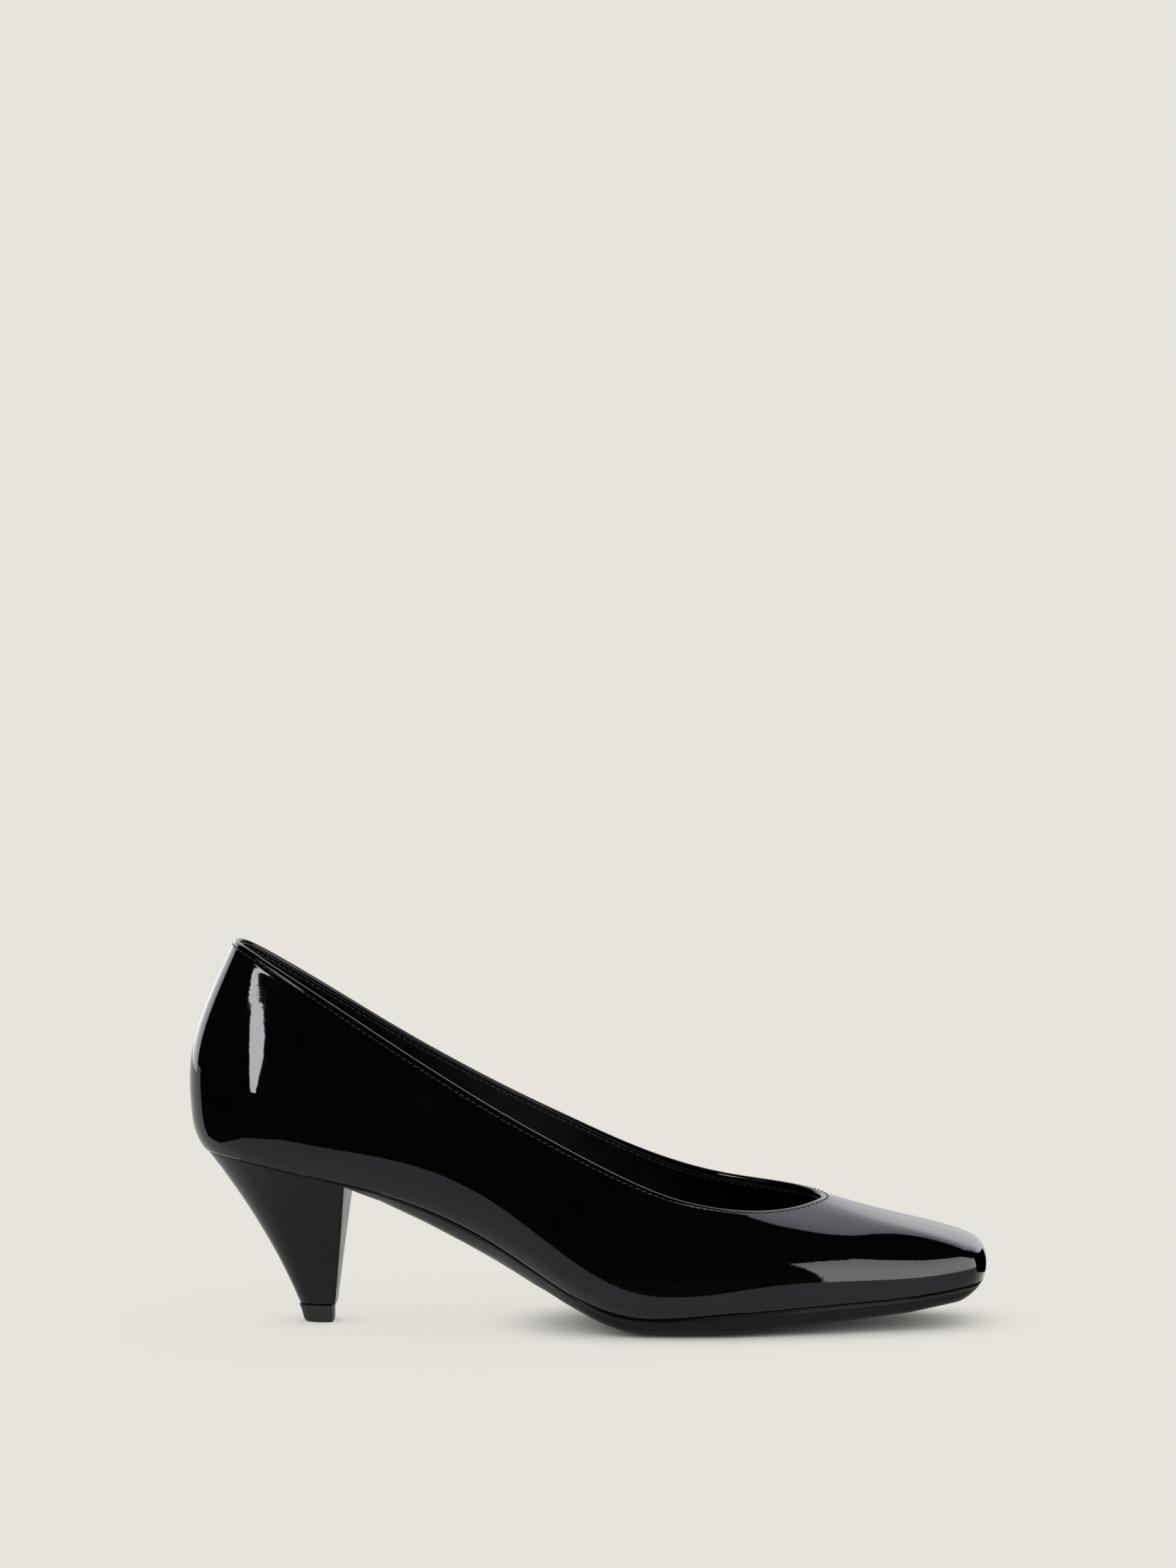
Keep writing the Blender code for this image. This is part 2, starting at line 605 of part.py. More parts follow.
def heel_face(s, lateral, level, depth=0.0):
    """Outer face of the heel; level runs from 0 under the seat to 1 on the top piece."""
    f = s / breast_s
    around = s if lateral else ROUND - s
    top = under(around, HEEL_TOP_INSET + 0 * s, -GAP)
    # The breast line is straight across.
    top[..., 0] = top[..., 0] + (BREAST_TOP_X - top[-1, 0]) * smooth(0.55, 1.0, f)
    x1, y1 = heel_tip_line(f, lateral)
    bow = 1 - f**3
    wx = level + 0.30 * bow * level * (1 - level)
    wy = level + 0.46 * level * (1 - level)
    found = top.copy()
    found[..., 0] = top[..., 0] * (1 - wx) + x1 * wx
    found[..., 1] = top[..., 1] * (1 - wy) + y1 * wy
    found[..., 2] = top[..., 2] * (1 - level) + (TIP_HIGH + GAP) * level
    return found


def heel_grid(s, depth):
    """[level][column] round the heel from the lateral breast edge to the medial one."""
    levels = np.linspace(0, 1, LEVEL_COUNT)
    rows = []
    for level in levels:
        lateral = heel_face(s, True, level)[::-1]
        medial = heel_face(s, False, level)[1:]
        rows.append(np.concatenate([lateral, medial]))
    grid = np.array(rows)
    if depth == 0:
        return grid
    along = np.gradient(grid, axis=1)
    down = np.gradient(grid, axis=0)
    normal = np.cross(down, along)
    normal /= np.linalg.norm(normal, axis=-1)[..., None]
    middle = grid[:, grid.shape[1] // 2]
    if (normal[:, grid.shape[1] // 2, 0] > 0).any():
        normal = -normal
    moved = grid - normal * depth
    moved[..., 2] = grid[..., 2]
    moved[:, 0, 0] = grid[:, 0, 0]
    moved[:, -1, 0] = grid[:, -1, 0]
    return moved


heel_side = stations(0.0, breast_s)
outer = heel_grid(heel_side, 0.0)
inner = heel_grid(heel_side, HEEL_WRAP)
shell("heel_cover", outer, inner, wrap)
core_grid = heel_grid(heel_side, HEEL_WRAP + GAP)
middle = core_grid.shape[1] // 2
core = slab("heel_core", core_grid[:, middle::-1], core_grid[:, middle:], abs_plastic, across=4)
breast_outer = np.stack([outer[:, 0], outer[:, -1]], 1)
shell("heel_breast_cover", breast_outer + (GAP + BREAST_WRAP, 0, 0), breast_outer + (GAP, 0, 0), wrap)

foot_rows = []
for z, grow, forward in ((TIP_HIGH, 0.35, 0.0), (1.3, -0.5, 0.9), (0.0, -1.5, 1.9)):
    x1, y1 = heel_tip_line(heel_side / breast_s, True)
    x2, y2 = heel_tip_line(heel_side / breast_s, False)
    cx = 41.0
    rows = []
    for x, y in ((x1, y1), (x2, y2)):
        shrink = 1 + grow / TIP_HALF
        back = np.clip((cx - x) / (cx - 34.0), 0, 1)
        rows.append(np.stack([x - back * (grow if grow > 0 else 0) + back * forward,
                              y * shrink, 0 * x + z], -1))
    foot_rows.append(rows)
tip = slab("top_piece", [r[0] for r in foot_rows], [r[1] for r in foot_rows], rubber, across=2)

# ------------------------------------------------------------------ metal inside
SEAT_LEAN = math.atan2(4.2, 19.0)
seat_normal = Vector((math.sin(SEAT_LEAN), 0, math.cos(SEAT_LEAN)))


def seat(x, lift, y=0.0):
    return float(underside(x, y)) + lift


pin = turned("top_piece_pin", (39.6, 0, 1.6), (0, 0, 1), [(0, 1.1), (0.6, 1.5), (19.4, 1.5), (20, 1.1)],
             steel)
screw_base = Vector((30.0, -0.6, seat(30.0, board_top - 0.55)))
screw_down = -seat_normal
screw = turned("heel_screw", screw_base + seat_normal * 0.15, screw_down,
               [(0, 3.2), (0.9, 3.2), (1.0, 1.9), (16.5, 1.9), (19, 0.5)], steel)
NAIL_SPOTS = ((25.0, -9.0), (25.0, 8.6), (41.0, -11.0), (41.0, 10.4))
nails = []
for k, (x, y) in enumerate(NAIL_SPOTS):
    base = Vector((x, y, seat(x, board_top - 0.5)))
    nails.append(turned(f"heel_nail_{k + 1}", base, screw_down,
                        [(0, 1.9), (0.6, 1.9), (0.7, 0.8), (11.4, 0.8), (12.6, 0.25)], steel, sides=8))


def drill(base, axis, radius, length):
    return turned("drill", base, axis, [(0, radius), (length, radius)], steel, sides=8)


shank_s = np.linspace(0, 1, 15)
shank_x = 22 + shank_s * 100
shank_mid = np.interp(shank_x, *SPINE)
shank_half = 5.6 * (1 - smooth(0.86, 1.0, shank_s) * 0.35) * (1 - smooth(0.14, 0.0, shank_s) * 0.35)
shank_z = underside(shank_x, shank_mid)
lift = board_low - GAP - 1.3
rows_top, rows_low = [], []
for edge in (-1, 1):
    line = np.stack([shank_x, shank_mid + edge * shank_half, shank_z + lift + 1.2], -1)
    rows_top.append(line)
    rows_low.append(line - (0, 0, 1.2))
shank = shell("shank", rows_top, rows_low, steel)

rivets = []
for k, x in enumerate((60.0, 112.0)):
    y = float(np.interp(x, shank_x, shank_mid))
    z = float(np.interp(x, shank_x, shank_z)) + lift
    slope = float(np.interp(x + 1, shank_x, shank_z) - np.interp(x - 1, shank_x, shank_z)) / 2
    up = Vector((-slope, 0, 1)).normalized()
    start = Vector((x, y, z)) - up * 0.7
    whole = 0.7 + 1.2 + GAP + BOARD - 0.2
    rivets.append((start, up, whole))
    turned(f"shank_rivet_{k + 1}", start, up,
           [(0, 1.6), (0.55, 2.2), (0.56, 1.2), (whole - 0.32, 1.2), (whole - 0.3, 2.0), (whole, 1.6)],
           steel, sides=8)

board_drills = [drill(screw_base - screw_down * 3, screw_down, 3.6, 7.0)]
core_drills = [drill(screw_base, screw_down, 2.2, 21.0), drill((39.6, 0, 0), (0, 0, 1), 1.8, 23.0)]
for x, y in NAIL_SPOTS:
    base = Vector((x, y, seat(x, board_top - 0.5)))
    board_drills.append(drill(base - screw_down * 3, screw_down, 2.2, 9.0))
    core_drills.append(drill(base, screw_down, 1.1, 14.0))
shank_drills = [drill(screw_base - screw_down * 3, screw_down, 2.3, 12.0)]
for start, up, whole in rivets:
    board_drills.append(drill(start - up, up, 2.3, whole + 4))
    shank_drills.append(drill(start - up, up, 1.5, whole + 4))
cut(insole, board_drills)
cut(core, core_drills)
cut(shank, shank_drills)
cut(tip, [drill((39.6, 0, 1.3), (0, 0, 1), 1.8, 10.0)])
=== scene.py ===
"""High heel pump, right foot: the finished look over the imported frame, and the studio it stands in.

Lengths are millimetres in the shoe's own working frame (x forward from the back of the heel, y zero
on the centre line with the outer side negative, z zero on the floor) until a mesh is made. Lights,
camera and materials are in metres.
"""

import math

import bmesh
import bpy
import numpy as np
from mathutils import Matrix, Vector


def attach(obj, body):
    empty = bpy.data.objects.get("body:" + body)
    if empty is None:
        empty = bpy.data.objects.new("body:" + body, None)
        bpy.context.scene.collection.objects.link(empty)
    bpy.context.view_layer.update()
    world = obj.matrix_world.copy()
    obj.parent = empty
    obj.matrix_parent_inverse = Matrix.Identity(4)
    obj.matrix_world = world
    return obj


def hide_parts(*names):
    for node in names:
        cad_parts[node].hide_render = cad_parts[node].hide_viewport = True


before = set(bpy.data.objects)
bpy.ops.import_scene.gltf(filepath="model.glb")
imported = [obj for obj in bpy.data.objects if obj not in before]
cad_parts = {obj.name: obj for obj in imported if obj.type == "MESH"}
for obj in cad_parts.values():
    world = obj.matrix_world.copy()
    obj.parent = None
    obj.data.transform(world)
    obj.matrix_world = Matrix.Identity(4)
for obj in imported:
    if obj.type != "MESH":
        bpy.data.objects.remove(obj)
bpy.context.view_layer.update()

# ------------------------------------------------------------------ driving sizes (mm)
FRAME_X = 123.96  # middle of the shoe's length
FRAME_Y = -1.65  # middle of its width
UPPER = 1.1  # patent leather
GAP = 0.3  # glue line between two layers
TAPE = 0.3  # topline tape and interlining
STIFF = 0.45  # how much thicker a stiffener is than the tape
LINING = 0.8
BOARD = 1.8  # insole board
SOCK = 0.9
PAD = 2.2  # heel cushion
MARGIN = 8.0  # lasting allowance turned under the insole
HEEL_WRAP = 0.7
BREAST_WRAP = 0.55
BREAST_TOP_X = 49.0
BREAST_FOOT_X = 44.4
TIP_HIGH = 5.3  # thickness of the top piece
PITCH = 0.0065  # lift per millimetre behind the ball of the foot
BALL_X = 140.0
STITCH_DROP = 2.0  # topline stitching below the edge
SEAM_S = 21.0  # medial seam, in stations round the last
SEAM_LEAN = 1.8  # how far it slopes back toward the waist on its way down, in stations
LEAN_REACH = 4.0  # how far on either side of it the grid leans too
LINING_SEAM_S = 9.0  # seams between vamp lining and quarter lining, this far from the back

# One rib of the last per row, from the middle of the back to the middle of the toe.
# edge: plan of the feather edge, lateral and medial. top: topline, lateral and medial.
# wall, side, turn: how far out and up the surface stands from the feather edge.
# swell: how far it stands off the straight line from the turn up to the topline.
RIBS = [
    dict(edge=[(4.0, 0), (4.0, 0)], top=[(14.3, 0, 119.0), (14.3, 0, 119.0)],
         wall=(3.4, 4.0), side=(4.6, 14), turn=(4.9, 27), swell=[(1.9, 0.5), (1.0, 0.5)]),
    dict(edge=[(6.0, -11.5), (6.0, 11.5)], top=[(16.2, -8.6, 118.5), (16.2, 8.6, 118.6)],
         wall=(3.4, 4.0), side=(4.6, 14), turn=(4.9, 27), swell=[(1.9, 0.5), (1.0, 0.5)]),
    dict(edge=[(16.5, -20.6), (16.5, 20.2)], top=[(25.0, -16.6, 113.8), (25.0, 16.6, 113.0)],
         wall=(3.2, 4.2), side=(4.6, 13), turn=(4.8, 25), swell=[(1.5, 0), (0.8, 0)]),
    dict(edge=[(34, -23.4), (34, 22.4)], top=[(43, -21.6, 103.0), (43, 20.8, 101.8)],
         wall=(3.0, 4.2), side=(4.6, 12), turn=(4.6, 23), swell=[(0.9, 0), (0.5, 0)]),
    dict(edge=[(54, -23.2), (54, 20.8)], top=[(61, -24.2, 91.3), (61, 23.2, 90.2)],
         wall=(3.0, 4.0), side=(4.8, 11.5), turn=(5.0, 21), swell=[(0.7, 0), (0.4, 0)]),
    dict(edge=[(76, -23.0), (76, 18.6)], top=[(80, -26.4, 79.3), (80, 25.4, 79.0)],
         wall=(3.2, 4.0), side=(5.2, 11.5), turn=(5.6, 19), swell=[(0.6, 0), (0.4, 0)]),
    dict(edge=[(98, -26.0), (98, 20.0)], top=[(99, -28.6, 67.9), (99, 27.6, 68.7)],
         wall=(3.2, 4.2), side=(5.0, 12), turn=(5.2, 18), swell=[(0.6, 0), (0.5, 0)]),
    dict(edge=[(119, -32.4), (119, 24.8)], top=[(117, -30.6, 58.4), (117, 29.4, 60.2)],
         wall=(3.2, 3.6), side=(4.4, 9.6), turn=(4.2, 18), swell=[(0.8, 0), (0.6, 0)]),
    dict(edge=[(138, -37.4), (139, 31.0)], top=[(134, -31.4, 49.7), (134, 30.2, 52.3)],
         wall=(3.1, 2.8), side=(3.5, 7.2), turn=(2.7, 17.0), swell=[(1.2, 0), (0.8, 0)]),
    dict(edge=[(158, -39.0), (160, 35.6)], top=[(150, -30.8, 42.6), (151, 29.4, 46.2)],
         wall=(2.6, 2.3), side=(2.9, 6.9), turn=(1.8, 15.0), swell=[(1.4, 0.4), (0.9, 0.3)]),
    dict(edge=[(180, -36.4), (180, 35.4)], top=[(164, -27.8, 39.1), (166, 26.4, 43.0)],
         wall=(2.2, 3.0), side=(2.7, 8.6), turn=(0.9, 14.8), swell=[(1.2, 0.8), (0.6, 0.4)]),
    dict(edge=[(202, -31.0), (201, 30.8)], top=[(177, -22.4, 37.4), (178, 21.8, 42.0)],
         wall=(2.0, 2.8), side=(2.5, 8.6), turn=(-0.1, 14.6), swell=[(0.8, 0.8), (0.3, 0.2)]),
    dict(edge=[(223, -25.6), (223, 24.8)], top=[(187.0, -15.4, 37.7), (187.5, 15.6, 41.3)],
         wall=(1.7, 2.2), side=(2.1, 7.8), turn=(-1.4, 13.6), swell=[(0.3, 0.6), (0, -0.2)]),
    dict(edge=[(237.0, -21.8), (238.5, 20.2)], top=[(192.8, -9.4, 38.7), (193.2, 9.6, 40.6)],
         wall=(1.4, 2.2), side=(1.5, 7.8), turn=(-2.6, 12.6), swell=[(0, 0.5), (0, -0.5)]),
    dict(edge=[(244.4, -18.6), (246.0, 16.4)], top=[(195.4, -5.0, 39.3), (195.6, 5.0, 40.0)],
         wall=(1.2, 2.8), side=(0.9, 8.8), turn=(-3.8, 12.0), swell=[(0, 0.3), (0, -0.8)]),
    dict(edge=[(246.4, -9.0), (247.2, 8.0)], top=[(196.3, -2.4, 39.5), (196.4, 2.4, 39.7)],
         wall=(1.2, 3.8), side=(-0.2, 9.2), turn=(-5.4, 12.1), swell=[(0, 0.2), (0, -0.9)]),
    dict(edge=[(247.0, -0.5), (247.0, -0.5)], top=[(196.6, 0, 39.6), (196.6, 0, 39.6)],
         wall=(1.2, 3.8), side=(-0.2, 9.2), turn=(-5.4, 12.3), swell=[(0, 0.2), (0, -1.0)]),
]

# Side elevation of the bottom: (x, z) of the feather edge, and (x, depth) of the sole under it.
FEATHER = [(4, 53.7), (6, 53.5), (16.5, 52.3), (34, 48.5), (54, 44.5), (76, 37.9), (98, 27.1),
           (119, 12.2), (130, 4.9), (138, 4.9), (158, 7.0), (180, 8.7), (202, 10.2),
           (223, 11.4), (237.5, 13.7), (245, 15.0), (247.6, 15.2)]
CROWN = [(0, 0), (59, 0), (76, 2.6), (95, 4.0), (112, 3.0), (124, 0.9), (130, 0), (250, 0)]
TREAD = [(48, 43.9), (60, 39.2), (75, 31.3), (86, 25.4), (97, 19.2), (108, 12.8), (118, 7.5),
         (127, 3.5), (135, 0.8), (140, 0), (170, 0), (183, 1.2), (202, 2.8), (223, 4.7),
         (239, 7.5), (246, 10.8), (250, 11.8)]
SPINE = ([27, 76, 119, 160, 222], [0, -2.0, -3.6, -1.7, -0.4])  # x and y down the middle

HALF = len(RIBS) - 1
ROUND = 2 * HALF  # stations right round the last


# ------------------------------------------------------------------ surface of the last
def height(knots, x):
    return np.interp(x, [k[0] for k in knots], [k[1] for k in knots])


def control_net():
    walk = [(rib, 0) for rib in RIBS] + [(rib, 1) for rib in RIBS[-2:0:-1]]
    edge = np.array([(*rib["edge"][k], 0) for rib, k in walk], float)
    edge[:, 2] = height(FEATHER, edge[:, 0]) + PITCH * (BALL_X - edge[:, 0])
    top = np.array([rib["top"][k] for rib, k in walk], float)
    top[:, 2] += PITCH * (BALL_X - top[:, 0])
    along = np.roll(edge, -1, 0) - np.roll(edge, 1, 0)
    along /= np.linalg.norm(along[:, :2], axis=1)[:, None]
    out = np.stack([along[:, 1], -along[:, 0], 0 * along[:, 0]], 1)
    up = np.array([0, 0, 1.0])

    def stand(pairs):
        pairs = np.array(pairs, float)
        return pairs[:, :1] * out + pairs[:, 1:] * up

    wall = edge + stand([rib["wall"] for rib, k in walk])
    side = edge + stand([rib["side"] for rib, k in walk])
    turn = edge + stand([rib["turn"] for rib, k in walk])
    low = turn + (top - turn) / 3 + stand([rib["swell"][0] for rib, k in walk])
    high = turn + (top - turn) * 2 / 3 + stand([rib["swell"][1] for rib, k in walk])
    return np.array([edge, wall, side, turn, low, high, top])


NET = control_net()


def weights_round(s):
    """Cubic B-spline weights of the stations, closed on themselves."""
    s = np.asarray(s, float) % ROUND
    cell = np.floor(s).astype(int)
    u = s - cell
    found = np.zeros(s.shape + (ROUND,))
    parts = [(1 - u) ** 3, 3 * u**3 - 6 * u**2 + 4, -3 * u**3 + 3 * u**2 + 3 * u + 1, u**3]
    for k, part in enumerate(parts):
        spot = ((cell - 1 + k) % ROUND)[..., None]
        held = np.take_along_axis(found, spot, -1)
        np.put_along_axis(found, spot, held + part[..., None] / 6, -1)
    return found


def weights_up(t):
    """Cubic B-spline weights up the wall, ending on the first and last control rows."""
    rows, degree = len(NET), 3
    spans = rows - degree
    knots = [0.0] * degree + [float(k) for k in range(spans + 1)] + [float(spans)] * degree
    t = np.clip(np.asarray(t, float) * spans, 0, spans - 1e-9)
    found = [((knots[i] <= t) & (t < knots[i + 1])).astype(float) for i in range(len(knots) - 1)]
    for d in range(1, degree + 1):
        step = []
        for i in range(len(knots) - 1 - d):
            total = np.zeros_like(t)
            if knots[i + d] > knots[i]:
                total = total + (t - knots[i]) / (knots[i + d] - knots[i]) * found[i]
            if knots[i + d + 1] > knots[i + 1]:
                rest = (knots[i + d + 1] - t) / (knots[i + d + 1] - knots[i + 1])
                total = total + rest * found[i + 1]
            step.append(total)
        found = step
    return np.stack(found, -1)


def leaned(s, t):
    """The medial seam slopes back toward the waist as it goes down, and the grid with it."""
    off = np.clip(np.abs(np.asarray(s, float) % ROUND - SEAM_S) / LEAN_REACH, 0, 1)
    return s + SEAM_LEAN * (1 - np.clip(t, 0, 1)) * (1 - off * off * (3 - 2 * off))


def skin(s, t):
    """Outer surface of the upper: s stations round from the back, t from feather edge to topline."""
    s, t = np.broadcast_arrays(np.asarray(s, float), np.asarray(t, float))
    return np.einsum("...i,ijk,...j->...k", weights_up(t), NET, weights_round(leaned(s, t)))


def foot_line(first, last):
    s = np.linspace(first, last, 161)
    return skin(s, 0 * s)


FOOT_LINES = [foot_line(0, HALF), foot_line(ROUND, HALF)]


def within(s, t, depth):
    """The surface this far inside the upper's outer face, square to it."""
    e = 0.01
    s, t, depth = np.broadcast_arrays(*(np.asarray(v, float) for v in (s, t, depth)))
    along = skin(s + e, t) - skin(s - e, t)
    upward = skin(s, np.minimum(t + e, 1)) - skin(s, np.maximum(t - e, 0))
    normal = np.cross(along, upward)
    normal /= np.linalg.norm(normal, axis=-1)[..., None]
    return skin(s, t) - normal * depth[..., None]


def under(s, inset, lift):
    """A point under the foot: in from the feather edge, and up from it."""
    s = np.asarray(s, float)
    foot = skin(s, 0 * s)
    spine = foot * 0
    spine[..., 0] = np.clip(foot[..., 0], SPINE[0][0], SPINE[0][-1])
    spine[..., 1] = np.interp(spine[..., 0], *SPINE)
    along = skin(s + 0.01, 0 * s) - skin(s - 0.01, 0 * s)
    along /= np.linalg.norm(along[..., :2], axis=-1)[..., None]
    inward = np.stack([-along[..., 1], along[..., 0]], -1)
    toward = (spine - foot)[..., :2]
    toward /= np.linalg.norm(toward, axis=-1)[..., None]
    slant = np.maximum((toward * inward).sum(-1), 0.6)
    moved = foot.copy()
    moved[..., :2] += toward * (np.asarray(inset) / slant)[..., None]
    moved[..., 2] = underside(moved[..., 0], moved[..., 1]) + lift
    return moved


def underside(x, y):
    """Height of the last's bottom: the feather line's, sagging toward the middle at the waist."""
    line = FOOT_LINES[0]
    outside = np.interp(x, line[:, 0], line[:, 1])
    inside = np.interp(x, FOOT_LINES[1][:, 0], FOOT_LINES[1][:, 1])
    v = np.clip((y - outside) / np.maximum(inside - outside, 1e-6), 0, 1)
    return np.interp(x, line[:, 0], line[:, 2]) - height(CROWN, x) * 4 * v * (1 - v)


def smooth(a, b, x):
    u = np.clip((np.asarray(x, float) - a) / (b - a), 0, 1)
    return u * u * (3 - 2 * u)


def bulk(s, t):
    """1 where a stiffener fills the upper at the heel or the toe, 0 elsewhere."""
    s = np.asarray(s, float) % ROUND
    back = np.minimum(s, ROUND - s)
    front = np.abs(s - HALF)
    heel = (1 - smooth(2.6, 4.4, back)) * (1 - smooth(0.62, 0.80, t))
    toe = (1 - smooth(3.6, 5.4, front)) * (1 - smooth(0.50, 0.66, t))
    return heel + toe


def lining_depth(s, t):
    return UPPER + GAP + TAPE + GAP + STIFF * bulk(s, t)


# ------------------------------------------------------------------ meshes
def solid(name, points, faces, look, sharp=50):
    """One mesh object from millimetre points, smooth except across sharp edges, riding on the shoe."""
    mesh = bpy.data.meshes.new(name)
    shaped = (np.asarray(points, float) - (FRAME_X, FRAME_Y, 0)) * 0.001
    mesh.from_pydata(shaped.tolist(), [], [tuple(int(v) for v in face) for face in faces])
    work = bmesh.new()
    work.from_mesh(mesh)
    bmesh.ops.remove_doubles(work, verts=work.verts, dist=1e-6)
    bmesh.ops.recalc_face_normals(work, faces=work.faces)
    if work.calc_volume(signed=True) < 0:
        bmesh.ops.reverse_faces(work, faces=work.faces)
    work.to_mesh(mesh)
    work.free()
    mesh.shade_smooth()
    mesh.set_sharp_from_angle(angle=math.radians(sharp))
    mesh.materials.append(look)
    made = bpy.data.objects.new(name, mesh)
    bpy.context.scene.collection.objects.link(made)
    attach(made, "root")
    return made


def stands_for(made, slot, *nodes):
    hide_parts(*nodes)
    return made


def quads(rows, columns, loop_rows=False, loop_columns=False, shift=0):
    r, c = np.meshgrid(np.arange(rows if loop_rows else rows - 1),
                       np.arange(columns if loop_columns else columns - 1), indexing="ij")
    r2, c2 = (r + 1) % rows, (c + 1) % columns
    found = [r * columns + c, r * columns + c2, r2 * columns + c2, r2 * columns + c]
    return (np.stack(found, -1).reshape(-1, 4) + shift).tolist()


def drawn(name, section, look, ring=False, sharp=50):
    """A closed section carried along the stations: section is [point of the loop][station]."""
    section = np.asarray(section)
    rows, columns = section.shape[:2]
    faces = quads(rows, columns, True, ring)
    if not ring:
        faces.append([r * columns for r in range(rows)])
        faces.append([r * columns + columns - 1 for r in range(rows)][::-1])
    return solid(name, section.reshape(-1, 3), faces, look, sharp)


def softened(rings, times=2):
    """Rings with the corners between them rounded off, the first and last ring kept."""
    rings = np.asarray(rings, float)
    for _ in range(times):
        near = rings[:-1] * 0.75 + rings[1:] * 0.25
        far = rings[:-1] * 0.25 + rings[1:] * 0.75
        between = np.stack([near, far], 1).reshape((-1,) + rings.shape[1:])
        rings = np.concatenate([rings[:1], between[1:-1], rings[-1:]])
    return rings


def rolled(distance, radius):
    """How far a rounded edge has fallen in, this far from its end."""
    left = np.clip(radius - distance, 0, radius)
    return radius - np.sqrt(radius**2 - left**2)


def mm_per_station(s, t=0.6):
    return float(np.linalg.norm(skin(s + 0.05, t) - skin(s - 0.05, t))) / 0.1


EDGE_STEPS = np.array([0, 0.04, 0.1, 0.17, 0.25, 0.34, 0.44, 0.56, 0.8, 1.2])


def seamed(first, last, per_station=12, slit=0.05, radius=0.5):
    """Stations between two seams, close together at the ends, and how far each has rolled in."""
    start, end = mm_per_station(first), mm_per_station(last)
    low = first + (EDGE_STEPS + slit) / start
    high = last - (EDGE_STEPS[::-1] + slit) / end
    count = int(round((high[0] - low[-1]) * per_station))
    middle = np.linspace(low[-1], high[0], count + 1)[1:-1]
    s = np.concatenate([low, middle, high])
    fall = np.zeros(len(s))
    fall[:len(low)] = rolled(EDGE_STEPS, radius)
    fall[-len(high):] = rolled(EDGE_STEPS[::-1], radius)
    return s, fall


def drop_table(s):
    """Gives the level that lies a given distance below the topline, at each station."""
    levels = np.linspace(0.5, 1.0, 101)
    lines = np.array([skin(s, t + 0 * s) for t in levels])
    gone = np.linalg.norm(lines - lines[-1], axis=-1)

    def level(drop):
        return np.array([np.interp(-drop, -gone[:, c], levels) for c in range(len(s))])
    return level


BAND = 7.0  # depth of the worked band under the topline


def section(s, steps, fall=0.0, fade=1.8):
    """Rows of a layer's section. A step is ("foot", inset, lift), ("wall", share, depth) or
    ("edge", drop, depth); fall pushes the outer face in near the seams."""
    level = drop_table(s)
    top_of_wall = level(BAND)
    rows = []
    for kind, a, b in steps:
        if kind == "foot":
            rows.append(under(s, a + 0 * s, b))
            continue
        t = a * top_of_wall if kind == "wall" else level(a)
        depth = b(s, t) if callable(b) else b + 0 * s
        rows.append(within(s, t, depth + fall * np.clip(1 - depth / fade, 0, 1)))
    return rows


